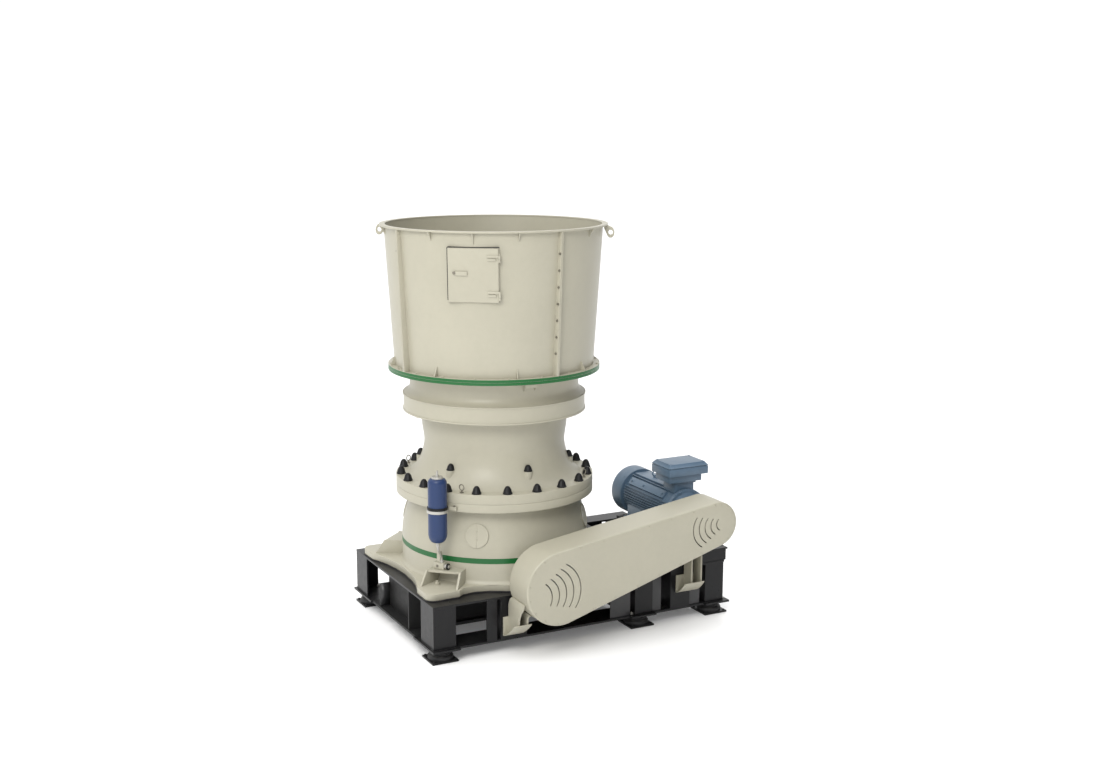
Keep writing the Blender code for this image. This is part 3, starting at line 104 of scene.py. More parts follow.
class Graph:
    """Short forms for building the nodes of a material or the world."""

    def __init__(self, owner, shader="Principled BSDF", space="Object"):
        owner.use_nodes = True
        self.tree = owner.node_tree
        self.shader = self.tree.nodes[shader]
        self.where = self.add("TexCoord").outputs[space]

    def add(self, kind, **settings):
        node = self.tree.nodes.new("ShaderNode" + kind)
        for name, value in settings.items():
            setattr(node, name, value)
        return node

    def feed(self, socket, value):
        if isinstance(value, bpy.types.NodeSocket):
            self.tree.links.new(value, socket)
        else:
            socket.default_value = value

    def set(self, **values):
        """Feeds the shader's sockets, named with _ for each space."""
        for name, value in values.items():
            self.feed(self.shader.inputs[name.replace("_", " ")], value)

    def math(self, kind, a, b=0, c=0, clamp=False):
        node = self.add("Math", operation=kind, use_clamp=clamp)
        for socket, value in zip(node.inputs, (a, b, c)):
            self.feed(socket, value)
        return node.outputs[0]

    def noise(self, scale, detail=3, rough=0.55, stretch=None):
        node = self.add("TexNoise")
        for name, value in (("Scale", scale), ("Detail", detail), ("Roughness", rough)):
            node.inputs[name].default_value = value
        where = self.where
        if stretch is not None:
            mapping = self.add("Mapping")
            mapping.inputs["Scale"].default_value = stretch
            self.feed(mapping.inputs["Vector"], where)
            where = mapping.outputs["Vector"]
        self.feed(node.inputs["Vector"], where)
        return node.outputs[0]

    def span(self, value, low, high, to_low=0, to_high=1):
        node = self.add("MapRange", interpolation_type="SMOOTHSTEP")
        for socket, given in zip(node.inputs, (value, low, high, to_low, to_high)):
            self.feed(socket, given)
        return node.outputs[0]

    def mix(self, share, a, b):
        node = self.add("Mix", data_type="RGBA")
        self.feed(node.inputs[0], share)
        for socket, value in ((node.inputs[6], a), (node.inputs[7], b)):
            self.feed(socket, (*value, 1) if isinstance(value, tuple) else value)
        return node.outputs[2]

    def dot(self, a, b):
        node = self.add("VectorMath", operation="DOT_PRODUCT")
        self.feed(node.inputs[0], a)
        self.feed(node.inputs[1], b)
        return node.outputs["Value"]

    def split(self, vector):
        node = self.add("SeparateXYZ")
        self.feed(node.inputs[0], vector)
        return node.outputs

    def bump(self, height, strength, distance, normal):
        node = self.add("Bump")
        node.inputs["Strength"].default_value = strength
        node.inputs["Distance"].default_value = distance
        self.feed(node.inputs["Height"], height)
        self.feed(node.inputs["Normal"], normal)
        return node.outputs[0]


def band_mask(g, facing, low, high, inner):
    """One where the surface stands upright between two heights and outside a radius."""
    x, y, z = g.split(g.where)
    dx = g.math("SUBTRACT", x, AXIS.x)
    dy = g.math("SUBTRACT", y, AXIS.y)
    radius = g.math("SQRT", g.math("ADD", g.math("MULTIPLY", dx, dx), g.math("MULTIPLY", dy, dy)))
    flat = g.math("ABSOLUTE", g.split(facing)[2])
    mask = g.math("GREATER_THAN", radius, inner)
    for test, value, limit in (("GREATER_THAN", z, low), ("LESS_THAN", z, high),
                               ("LESS_THAN", flat, 0.5)):
        mask = g.math("MULTIPLY", mask, g.math(test, value, limit))
    return mask


def coat(name, colour, rough, metal=0, worn=None, wear=0.35, grain=0.1, cast=0,
         dust=0.1, soft=0.005, vary=0.07, banded=False, brushed=None, shine=0.5):
    """A painted or bare surface: uneven colour, worn edges, dust on top, grain and bump."""
    material = bpy.data.materials.new(name)
    g = Graph(material)
    geometry = g.add("NewGeometry").outputs
    middle = g.noise(14, 4)
    shade = g.math("ADD", g.math("MULTIPLY", g.noise(1.7, 4), 0.6),
                   g.math("MULTIPLY", middle, 0.4))
    darker = tuple(c * (1 - vary) for c in colour)
    lighter = tuple(min(1, c * (1 + vary)) for c in colour)
    base = g.mix(g.span(shade, 0.32, 0.68), darker, lighter)
    for low, high, inner in BANDS if banded else ():
        base = g.mix(band_mask(g, geometry["True Normal"], low, high, inner), base, GREEN)
    bevel = g.add("Bevel", samples=4)
    bevel.inputs["Radius"].default_value = soft
    edge = g.span(g.dot(bevel.outputs[0], geometry["Normal"]), 0.985, 0.8)
    chips = g.span(g.noise(38, 6, 0.7), 0.5, 0.66)
    if worn is None:
        worn = tuple(min(1, c * 1.25 + 0.02) for c in colour)
    share = g.math("MULTIPLY", edge, g.math("MULTIPLY_ADD", chips, wear, wear * 0.3), clamp=True)
    base = g.mix(share, base, worn)
    up = g.span(g.split(geometry["Normal"])[2], 0.55, 0.98)
    settled = g.math("MULTIPLY", g.math("MULTIPLY", up, dust), g.span(middle, 0.3, 0.7))
    scuffed = g.math("MULTIPLY_ADD", middle, 0.22, rough - 0.11)
    normal = g.bump(g.noise(220, 2, 0.5, brushed), grain, 0.0006, bevel.outputs[0])
    if cast:
        normal = g.bump(g.noise(34, 5, 0.6), cast, 0.004, normal)
    g.set(Base_Color=g.mix(settled, base, DUST), Normal=normal, Metallic=metal,
          Roughness=g.math("MULTIPLY_ADD", settled, 0.3, scuffed), Specular_IOR_Level=shine)
    return material


CREAM = (0.402, 0.383, 0.304)
GREEN = (0.003, 0.104, 0.02)
DUST = (0.46, 0.43, 0.37)
BANDS = ((1.02, 1.085, 1.1), (3.15, 3.236, 1.27))      # low, high, least radius
LOOKS = {
    "cream": coat("cream_enamel", CREAM, 0.4, wear=0.1, grain=0.05, vary=0.025, dust=0.04),
    "cream_cast": coat("cream_casting", CREAM, 0.42, wear=0.12, grain=0.06, cast=0.06,
                       vary=0.03, dust=0.05, banded=True),
    "cream_lid": coat("cream_cover", CREAM, 0.4, wear=0.18, grain=0.06, cast=0.04, vary=0.03,
                      dust=0.04),
    "hopper": coat("cream_sheet", CREAM, 0.38, wear=0.05, grain=0.05, vary=0.025, dust=0.04,
                   banded=True),
    "black": coat("black_enamel", (0.009, 0.009, 0.01), 0.32, wear=0.22, cast=0.03,
                  worn=(0.09, 0.09, 0.09), dust=0.02, vary=0.08, shine=0.26),
    # A lighter copy of the frame's black paint: painted light on the webs between the posts and on
    # the rear beam's end.
    "web": coat("painted_light_black", (0.03, 0.03, 0.032), 0.34, wear=0.22, cast=0.03,
                worn=(0.12, 0.12, 0.12), dust=0.02, vary=0.08),
    # A darker, matte copy of the frame's black paint: painted shade on the inner beams, cross
    # beams and end web.
    "shaded_inside": coat("painted_shade_black", (0.006, 0.006, 0.006), 0.6, wear=0.1, cast=0.03,
                   worn=(0.03, 0.03, 0.03), dust=0, vary=0.1),
    "cap": coat("black_plastic", (0.008, 0.008, 0.009), 0.4, wear=0.2,
                worn=(0.04, 0.04, 0.04), dust=0.03, soft=0.002, shine=0.22),
    "blue": coat("blue_enamel", (0.018, 0.038, 0.112), 0.34, wear=0, grain=0.01, vary=0.03,
                 dust=0, shine=0.35),
    "slate": coat("slate_enamel", (0.088, 0.142, 0.208), 0.36, wear=0.3, cast=0.08, vary=0.08,
                  soft=0.003),
    "steel": coat("turned_steel_face", (0.56, 0.56, 0.57), 0.3, metal=1, wear=0.2,
                  worn=(0.75, 0.75, 0.76), brushed=(1, 1, 8), dust=0.05, soft=0.002),
    "zinc": coat("zinc_plate", (0.46, 0.45, 0.42), 0.36, metal=0.6, wear=0.2,
                 worn=(0.8, 0.8, 0.78), dust=0.06, soft=0.002),
    "bolt": coat("dark_bolts", (0.205, 0.19, 0.155), 0.42, metal=0.55, wear=0.3,
                 worn=(0.45, 0.43, 0.38), dust=0.05, soft=0.001),
    "rubber": coat("foot_rubber", (0.014, 0.014, 0.015), 0.58, wear=0.3,
                   worn=(0.05, 0.05, 0.05), dust=0.22, cast=0.1),
    "manganese": coat("manganese_casting", (0.19, 0.18, 0.17), 0.52, metal=0.7, wear=0.5,
                      worn=(0.42, 0.4, 0.38), cast=0.4, vary=0.25),
}


# Shapes. Each helper gives a bmesh drawn about the crusher's axis.


def spin(degrees):
    return Matrix.Rotation(math.radians(degrees), 4, "Z")


def tilt(degrees):
    return Matrix.Rotation(math.radians(degrees), 4, "Y")


def shift(x, y, z):
    return Matrix.Translation((x, y, z))


HERE = Matrix()
ALONG_X = tilt(90)
ALONG_Y = Matrix.Rotation(math.radians(-90), 4, "X")
AGAINST_Y = Matrix.Rotation(math.radians(90), 4, "X")
DOWN = Matrix.Rotation(math.pi, 4, "X")
SIDEWAYS = Matrix(((0, 0, 1, 0), (1, 0, 0, 0), (0, 1, 0, 0),
                   (0, 0, 0, 1)))     # a drawing of Y and Z, given its thickness in X


def lathe(profile, seg=128, closed=True, start=0, sweep=360):
    """Turns a line of (radius, height) about the axis. A closed line joins its two ends."""
    shape = bmesh.new()
    full = sweep >= 360
    count = seg if full else seg + 1
    rings = []
    for i in range(count):
        a = math.radians(start + sweep * i / seg)
        rings.append([shape.verts.new((r * math.cos(a), r * math.sin(a), z)) for r, z in profile])
    size = len(profile)
    for i in range(seg):
        a, b = rings[i], rings[(i + 1) % count]
        for j in range(size if closed else size - 1):
            k = (j + 1) % size
            if profile[j][0] > 0 or profile[k][0] > 0:
                shape.faces.new((a[j], b[j], b[k], a[k]))
    if closed and not full:
        shape.faces.new(rings[0])
        shape.faces.new(list(reversed(rings[-1])))
    bmesh.ops.remove_doubles(shape, verts=shape.verts, dist=1e-6)
    return tidy(shape)


def tidy(shape):
    bmesh.ops.recalc_face_normals(shape, faces=shape.faces)
    return shape


def soften(profile, radius, closed=True, steps=3):
    """Rounds the corners of a line."""
    made = []
    size = len(profile)
    for i, point in enumerate(profile):
        if not closed and i in (0, size - 1):
            made.append(point)
            continue
        p = Vector(point)
        u = Vector(profile[i - 1]) - p
        v = Vector(profile[(i + 1) % size]) - p
        turn = u.angle(v)
        if turn > math.radians(160):
            made.append(point)
            continue
        reach = min(radius / math.tan(turn / 2), u.length * 0.45, v.length * 0.45)
        first = p + u.normalized() * reach
        last = p + v.normalized() * reach
        for k in range(steps + 1):
            t = k / steps
            q = first * (1 - t) ** 2 + p * 2 * t * (1 - t) + last * t * t
            made.append((q.x, q.y))
    return made


def flow(points, per=4):
    """A smooth line through the points."""
    made = []
    size = len(points)
    for i in range(size - 1):
        p0 = Vector(points[max(i - 1, 0)])
        p1, p2 = Vector(points[i]), Vector(points[i + 1])
        p3 = Vector(points[min(i + 2, size - 1)])
        for k in range(per):
            t = k / per
            q = 0.5 * (2 * p1 + (p2 - p0) * t + (2 * p0 - 5 * p1 + 4 * p2 - p3) * t * t
                       + (3 * p1 - p0 - 3 * p2 + p3) * t ** 3)
            made.append(tuple(q))
    made.append(tuple(points[-1]))
    return made


def arc(cx, cy, radius, start, end, steps):
    made = []
    for i in range(steps + 1):
        a = math.radians(start + (end - start) * i / steps)
        made.append((cx + radius * math.cos(a), cy + radius * math.sin(a)))
    return made


def bevel(shape, width, steps=2, least=30):
    """Rounds the edges where faces turn by more than the angle."""
    if width > 0:
        edges = [e for e in shape.edges if len(e.link_faces) == 2
                 and e.calc_face_angle(0) > math.radians(least)]
        bmesh.ops.bevel(shape, geom=edges, offset=width, segments=steps, profile=0.6,
                        affect="EDGES", clamp_overlap=True)
    return shape


def block(low, high, width=0.004, matrix=HERE):
    """A box with rounded edges."""
    shape = bmesh.new()
    size = Vector(high) - Vector(low)
    middle = (Vector(high) + Vector(low)) / 2
    bmesh.ops.create_cube(shape, size=1,
                          matrix=Matrix.Translation(middle) @ Matrix.Diagonal((*size, 1)))
    bevel(shape, min(width, min(size) * 0.3))
    return move(shape, matrix)


def plate(outline, thick, matrix, width=0.002):
    """A flat outline given a thickness, with rounded edges, put where the matrix says."""
    shape = bmesh.new()
    lower = [shape.verts.new((x, y, -thick / 2)) for x, y in outline]
    upper = [shape.verts.new((x, y, thick / 2)) for x, y in outline]
    shape.faces.new(lower)
    shape.faces.new(upper)
    size = len(outline)
    for i in range(size):
        j = (i + 1) % size
        shape.faces.new((lower[i], lower[j], upper[j], upper[i]))
    tidy(shape)
    bevel(shape, width, 2, 60)
    return move(shape, matrix)


def rod(profile, matrix=HERE, seg=32, edge=0, steps=3):
    """A turned body along the matrix's own Z, given as (radius, height) from axis to axis."""
    if edge:
        profile = soften(profile, edge, False, steps)
    return move(lathe(profile, seg, closed=False), matrix)


def pin(radius, length, matrix, seg=32, edge=0.002):
    """A plain round bar with soft ends."""
    line = [(0, length), (radius, length), (radius, 0), (0, 0)]
    return rod(line, matrix, seg, edge, 2)


def hoop(inner, outer, low, high, edge, seg, matrix=HERE):
    """A ring with a rectangular section and soft edges."""
    line = soften([(outer, high), (outer, low), (inner, low), (inner, high)], edge)
    return move(lathe(line, seg), matrix)


def move(shape, matrix):
    bmesh.ops.transform(shape, matrix=matrix, verts=shape.verts)
    return shape


def ring_at(degrees, r, z):
    """A point on a circle about the axis, with local Z up and X outwards."""
    return spin(degrees) @ shift(r, 0, z)


def radial(degrees, offset=0):
    """Puts a drawing of radius and height in the vertical plane at this angle."""
    return spin(degrees) @ shift(0, offset, 0) @ AGAINST_Y


def template(shape, name="template"):
    mesh = bpy.data.meshes.new(name)
    shape.to_mesh(mesh)
    shape.free()
    return mesh


def gather(*shapes):
    """Several shapes as one mesh."""
    first = shapes[0]
    for other in shapes[1:]:
        held = template(other)
        first.from_mesh(held)
        bpy.data.meshes.remove(held)
    return first


def stamped(pattern, places):
    """One mesh with the pattern at every place."""
    shape = bmesh.new()
    for matrix in places:
        before = len(shape.verts)
        shape.from_mesh(pattern)
        shape.verts.ensure_lookup_table()
        bmesh.ops.transform(shape, matrix=matrix, verts=shape.verts[before:])
    return shape


def circle(pattern, count, start, r, z, turn=HERE):
    """One mesh with the pattern at even steps about the axis."""
    return stamped(pattern, [ring_at(start + 360 / count * i, r, z) @ turn
                             for i in range(count)])


def carve(shape, cutters):
    """Cuts each cutter from the shape."""
    target = bpy.data.objects.new("carved", template(shape))
    PIECES.objects.link(target)
    tools = []
    for cutter in cutters:
        tool = bpy.data.objects.new("cutter", template(tidy(cutter)))
        PIECES.objects.link(tool)
        tools.append(tool)
        step = target.modifiers.new("cut", "BOOLEAN")
        step.operation = "DIFFERENCE"
        step.solver = "EXACT"
        step.object = tool
    graph = bpy.context.evaluated_depsgraph_get()
    made = bpy.data.meshes.new_from_object(target.evaluated_get(graph))
    for obj in [target] + tools:
        bpy.data.objects.remove(obj, do_unlink=True)
    result = bmesh.new()
    result.from_mesh(made)
    bpy.data.meshes.remove(made)
    return result


def piece(name, shape, look, *hides, body="machine", slot=None, sharp=34):
    """Makes a shape, or a list of them, a piece riding on its body and hiding CAD nodes."""
    if isinstance(shape, list):
        shape = gather(*shape)
    mesh = template(move(shape, Matrix.Translation(AXIS)), name)
    mesh.materials.clear()
    mesh.materials.append(LOOKS[look])
    mesh.shade_smooth()
    mesh.set_sharp_from_angle(angle=math.radians(sharp))
    obj = bpy.data.objects.new(name, mesh)
    PIECES.objects.link(obj)
    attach(obj, body)
    if hides:
        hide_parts(*hides)
    return obj


def hex_bolt(across, height, washer=1.35, thread=0):
    """A six-sided head on a washer, standing on its own origin."""
    r = across / math.sqrt(3)
    thin = height * 0.22
    parts = [pin(across / 2 * washer, thin, HERE, 20, 0.001)]
    head = bmesh.new()
    bmesh.ops.create_cone(head, cap_ends=True, segments=6, radius1=r, radius2=r,
                          depth=height, matrix=shift(0, 0, thin + height / 2))
    bevel(head, height * 0.08, 1)
    parts.append(head)
    if thread:
        parts.append(pin(across * 0.29, thread, shift(0, 0, thin + height * 0.9), 12, 0.001))
    return template(gather(*parts))


BOLT_M36 = hex_bolt(0.055, 0.024, thread=0.022)
BOLT_M24 = hex_bolt(0.036, 0.016, thread=0.01)
BOLT_M16 = hex_bolt(0.024, 0.011)
BOLT_M8 = hex_bolt(0.013, 0.006)


# Sub-frame.


for side, where in ((-1, "front"), (1, "rear")):
    for x, end in zip(FOOT_X, ("left", "middle", "right")):
        name = f"isolator_{where}_{end}"
        ribs = [(0.118, 0.004), (0.122, 0.022), (0.138, 0.038), (0.124, 0.062), (0.148, 0.084)]
        line = flow([(r, RAIL_BOTTOM - down) for r, down in ribs] + [(0.15, FOOT_PLATE_T)], 5)
        line = [(0, RAIL_BOTTOM), (0.116, RAIL_BOTTOM)] + line + [(0, FOOT_PLATE_T)]
        at = shift(x, side * FOOT_Y, 0)
        piece(name + "_block", rod(line, at, 56), "rubber", name)
        half = FOOT_PLATE / 2
        foot = block((-half, -half, 0), (half, half, FOOT_PLATE_T), 0.003)
        corners = [shift(sx * (half - 0.03), sy * (half - 0.03), FOOT_PLATE_T)
                   for sx in (-1, 1) for sy in (-1, 1)]
        foot = gather(foot, stamped(BOLT_M16, corners))
        piece(name + "_plate", move(foot, at), "black")


# Lower casing.


def base_outline():
    """The base plate from above."""
    half_x, half_y, r = 1.36, 1.075, 0.11
    corner = [(half_x - 0.006, 0.74)]
    corner.extend(arc(half_x - r, half_y - r, r, 0, 90, 10))
    corner.append((0.96, half_y - 0.01))
    side = [(1.215, 0), (1.23, 0.25), (1.262, 0.45), (1.305, 0.6), (1.34, 0.69)]
    front = [(0.89, 1.01), (0.74, 0.985), (0.56, 1.03), (0.33, 1.16), (0, 1.185)]
    quarter = side + corner + front
    points = []
    for sx, sy in ((1, 1), (-1, 1), (-1, -1), (1, -1)):
        turn = [(sx * x, sy * y) for x, y in quarter]
        if sx * sy < 0:
            turn.reverse()
        points.extend(turn[:-1] if turn[-1][0] * turn[-1][1] == 0 else turn)
    return points


BARREL_LINE = [(0.105, 0), (0.094, 0.085), (0.046, 0.264), (0.009, 0.42), (0, 0.532)]


def lower_casing():
    line = [(BARREL_R - inwards, FLANGE_BOTTOM - down) for inwards, down in BARREL_LINE]
    profile = soften([(0, FLANGE_SPLIT), (FLANGE_R, FLANGE_SPLIT), (FLANGE_R, FLANGE_BOTTOM),
                      (line[0][0] - 0.001, FLANGE_BOTTOM)], 0.004, False)
    profile += flow(line, 6)
    profile += [(BARREL_R, PLATE_TOP + 0.045), (BARREL_R + 0.008, PLATE_TOP + 0.02),
                (BARREL_R + 0.03, PLATE_TOP - 0.001), (0, PLATE_TOP - 0.01)]
    middle = (PLATE_TOP + PLATE_LOW) / 2
    shapes = [rod(profile, seg=160),
              plate(base_outline(), PLATE_TOP - PLATE_LOW, shift(0, 0, middle), 0.006)]
    for angle in FOOT_ANGLES:
        ledge = []
        for side in (-1, 1):
            at = math.radians(angle + side * FOOT_SPREAD)
            towards_end = abs(math.cos(at)) > abs(math.cos(math.radians(angle)))
            reach = FOOT_END_R if towards_end else FOOT_SIDE_R
            gusset = [(1.12, PLATE_TOP - 0.01), (reach + 0.122, PLATE_TOP - 0.01),
                      (reach, FOOT_TOP), (1.12, FOOT_TOP)]
            shapes.append(plate(gusset, 0.028, radial(math.degrees(at)), 0.005))
            across = [((reach - 0.006) * math.cos(at), (reach - 0.006) * math.sin(at)),
                      (1.1 * math.cos(at), 1.1 * math.sin(at))]
            ledge.extend(across if side < 0 else reversed(across))
        shapes.append(plate(ledge, 0.026, shift(0, 0, FOOT_TOP - 0.015), 0.004))
    pairs = [ring_at(-126 + 18 * i + side * 1.46, 1.16, FLANGE_BOTTOM) @ DOWN
             for i in range(20) for side in (-1, 1)]
    shapes.append(stamped(BOLT_M16, pairs))
    piece("lower_casing", shapes, "cream_cast", "bottom_shell")


lower_casing()

COVER_Z = 1.345
COVER_R = 0.143
COVER_LEAN = -13.5
COVER_SEAT = 1.104


def shell_cover(where, degrees):
    """A round cover, almost flush, with a rim, a middle strip and its bolts."""
    at = ring_at(degrees, COVER_SEAT, COVER_Z)
    at = at @ tilt(COVER_LEAN) @ ALONG_X
    line = [(0, 0.017), (COVER_R - 0.012, 0.017), (COVER_R - 0.01, 0.02), (COVER_R, 0.02),
            (COVER_R, -0.03), (0, -0.03)]
    half = COVER_R - 0.03
    bolts = [at @ shift(along, 0, 0.016) for along in (-0.128, -0.05, 0.045, 0.128)]
    shapes = [rod(line, at, 96, 0.002), stamped(BOLT_M8, bolts),
              block((-half, -0.004, 0.012), (half, 0.004, 0.0185), 0.001, at)]
    piece("round_cover_" + where, shapes, "cream_lid", "shell_cover_" + where)


for where, degrees in (("front", -126.5), ("left", 143.5), ("rear", 53.5), ("right", -36.5)):
    shell_cover(where, degrees)


# Upper casing and crushing chamber.


BOSS_R = 0.915
BOSS_TOP = 2.06
BOSS_HALF = 0.052
UPPER_LINE = [
    (0.895, SHELL_TOP), (0.888, 2.5), (0.872, 2.385), (0.862, 2.283), (0.874, 2.19),
    (0.9, 2.095), (0.945, 2), (1, 1.925), (1.06, FLANGE_TOP + 0.003),
]


def chamber(z):
    share = (z - FLANGE_SPLIT) / (SHELL_TOP - FLANGE_SPLIT)
    return 0.93 + (0.66 - 0.93) * share


def upper_casing():
    low = FLANGE_SPLIT + 0.0008
    rim = soften([(1.066, FLANGE_TOP), (FLANGE_R, FLANGE_TOP), (FLANGE_R, low),
                  (chamber(low), low)], 0.005, False)
    profile = flow(UPPER_LINE, 5) + rim + [(chamber(SHELL_TOP), SHELL_TOP)]
    shapes = [lathe(profile, 160)]
    for i in range(6):
        at = spin(30 + 60 * i)
        shapes += [block((0.885, -BOSS_HALF + 0.004, FLANGE_TOP - 0.03),
                         (BOSS_R, BOSS_HALF - 0.004, BOSS_TOP - 0.006), 0.004, at),
                   pin(BOSS_HALF, BOSS_TOP - FLANGE_TOP + 0.02,
                       at @ shift(BOSS_R, 0, FLANGE_TOP - 0.02), 32, 0.005)]
    piece("upper_casing", shapes, "cream_cast", "top_shell")
    liner = soften([(chamber(2.64) - 0.001, 2.64), (chamber(1.775) - 0.001, 1.775),
                    (0.872, 1.775), (0.85, 1.86), (0.61, 2.6), (0.62, 2.64)], 0.012)
    piece("bowl_liner", lathe(liner, 112), "manganese", "concave_liner")
    low = FLANGE_SPLIT + 0.001
    cone = [(0, 2.53), (0.17, 2.53), (0.185, 2.47), (0.23, 2.44), (0.43, 2.12), (0.64, 1.86),
            (0.72, 1.8), (0.72, low), (0, low)]
    piece("mantle_cone", rod(cone, seg=112, edge=0.014), "manganese", "mantle")


upper_casing()


def spider():
    z = SHELL_TOP + GAP
    hub = [(0, 2.96), (0.11, 2.948), (0.196, 2.9), (0.23, 2.8), (0.27, 2.78), (0.27, 2.6),
           (0.18, 2.531), (0, 2.531)]
    arm = [(-0.11, z + 0.001), (0.11, z + 0.001), (0.11, 2.725), (0.075, 2.77),
           (-0.075, 2.77), (-0.11, 2.725)]
    shapes = [hoop(0.68, 0.88, z, 2.74, 0.01, 112), rod(hub, seg=72, edge=0.02),
              plate(arm, 1.56, radial(9.3 + 90), 0.01),
              circle(BOLT_M24, 6, 40, 0.205, 2.79)]
    piece("bridge", shapes, "cream_cast", "spider")


spider()


def flange_cap():
    """A black ribbed cap with a domed top and a collar."""
    shape = bmesh.new()
    seg = 48
    levels = [(0, 0.057, 0), (0.012, 0.057, 0), (0.015, 0.053, 0), (0.017, 0.052, 1),
              (0.064, 0.039, 1), (0.068, 0.035, 0.3), (0.084, 0.026, 0), (0.092, 0.015, 0)]
    rings = []
    for z, r, ribs in levels:
        ring = []
        for i in range(seg):
            a = math.tau * i / seg
            rib = 1 - 0.055 * ribs * (1 if i % 4 in (0, 1) else 0)
            ring.append(shape.verts.new((r * rib * math.cos(a), r * rib * math.sin(a), z)))
        rings.append(ring)
    for a, b in zip(rings, rings[1:]):
        for i in range(seg):
            j = (i + 1) % seg
            shape.faces.new((a[i], a[j], b[j], b[i]))
    top = shape.verts.new((0, 0, 0.095))
    for i in range(seg):
        shape.faces.new((rings[-1][i], rings[-1][(i + 1) % seg], top))
    shape.faces.new(list(reversed(rings[0])))
    return template(tidy(shape))


CAP = flange_cap()
piece("flange_caps", circle(CAP, 20, 0, 1.152, FLANGE_TOP), "cap", sharp=50)
SMALL = Matrix.Diagonal((0.92, 0.92, 0.82, 1))
piece("boss_caps", circle(CAP, 6, 30, BOSS_R, BOSS_TOP, SMALL), "cap", sharp=50)


def torus(r, tube, matrix, seg=32, around=12):
    line = [(r + tube * math.cos(math.tau * i / around), tube * math.sin(math.tau * i / around))
            for i in range(around)]
    return move(lathe(line, seg), matrix)


EYE = template(gather(pin(0.024, 0.01, HERE, 24), pin(0.011, 0.034, HERE, 16),
                      torus(0.034, 0.0065, shift(0, 0, 0.066) @ AGAINST_Y)))
piece("eyebolts", circle(EYE, 4, 45, 1.15, FLANGE_TOP, spin(70)), "bolt")


# Feed neck and hopper.


def neck():
    z = SHELL_TOP + GAP
    ring = soften([(RING_R, RING_TOP), (RING_R, RING_TOP - 0.018),
                   (RING_R - 0.01, RING_TOP - 0.02),
                   (RING_R - 0.01, z + 0.02), (RING_R, z + 0.018), (RING_R, z), (0.89, z),
                   (0.89, RING_TOP)], 0.003)
    under = circle(BOLT_M16, 27, -119.4, RING_R - 0.033, z, DOWN)
    piece("seal_ring", [lathe(ring, 160), under], "cream", "dust_ring")
    z = RING_TOP + GAP
    skirt = flow([(NECK_R, 3.06), (NECK_R, 2.985), (1.038, 2.945), (1.06, 2.91),
                  (1.096, z + 0.004)], 5)
    low, high = NECK_FLANGE_BOTTOM, NECK_FLANGE_TOP
    top = soften([(1, high), (GREEN_R, high), (GREEN_R, low), (NECK_R, low), (NECK_R, 3.062)],
                 0.0012, False)
    hanger = [(1.02, 3.05), (1.06, 3.05), (1.11, low + 0.004), (1.02, low + 0.004)]
    shapes = [lathe(top + skirt + [(1.102, z), (0.94, z), (1, 2.99)], 160),
              circle(BOLT_M16, 20, HOPPER_BASE, 1.245, low, DOWN),
              plate(hanger, 0.014, radial(-96), 0.002),
              plate(hanger, 0.014, radial(-88.5), 0.002),
              block((1.02, -0.075, 3.085), (1.082, 0.075, low + 0.004), 0.004, spin(-92.2))]
    piece("neck", shapes, "hopper", "feed_neck")
    flange = hoop(1.15, GREEN_R, high + 0.001, HOPPER_FLANGE_TOP, 0.0012, 160)
    piece("green_flange", flange, "hopper", "hopper_base_flange", slot="green_paint")


neck()

SEAM_REACH = 0.08
SEAM_T = 0.016
DOOR_LOW = 4.12
DOOR_HIGH = 4.737
DOOR_HALF = 0.292       # half of the door's width
DOOR_TALL = (DOOR_HIGH - DOOR_LOW) / 2      # half of its height
HINGE_Z = (-0.215, 0.215)
HINGE_X = 0.034
HINGE_Y = DOOR_HALF + 0.01
LEAN = math.degrees(math.atan2(WALL_TOP_R - WALL_LOW_R, HOPPER_TOP - HOPPER_FLANGE_TOP))


def wall_r(z):
    share = (z - HOPPER_FLANGE_TOP) / (HOPPER_TOP - HOPPER_FLANGE_TOP)
    return WALL_LOW_R + (WALL_TOP_R - WALL_LOW_R) * share


def door_matrix(degrees):
    """The door's own frame: X out of the wall, Y across, Z up along the leaning wall."""
    middle = (DOOR_LOW + DOOR_HIGH) / 2
    return ring_at(degrees, wall_r(middle), middle) @ tilt(LEAN)


def door_frame(at):
    """The frame of the door, with the fixed knuckles and pins of its hinges."""
    half, tall, wide = DOOR_HALF, DOOR_TALL, 0.03
    sides = [(-half, half, tall - wide, tall), (-half, half, -tall, wide - tall),
             (-half, wide - half, 0.028 - tall, tall - 0.028),
             (half - wide, half, 0.028 - tall, tall - 0.028)]
    shapes = [block((-0.046, y0, z0), (0.01, y1, z1), 0.002, at)
              for y0, y1, z0, z1 in sides]
    for z in HINGE_Z:
        pivot = at @ shift(HINGE_X, HINGE_Y, z)
        shapes += [
            block((-0.04, HINGE_Y - 0.022, z - 0.062), (0.007, HINGE_Y + 0.004, z - 0.032),
                  0.002, at),
            block((-0.02, HINGE_Y - 0.007, z - 0.061), (HINGE_X, HINGE_Y + 0.003, z - 0.033),
                  0.002, at),
            pin(0.013, 0.03, pivot @ shift(0, 0, -0.062), 24, 0.001),
            pin(0.0065, 0.098, pivot @ shift(0, 0, -0.061), 16, 0.001)]
    return shapes


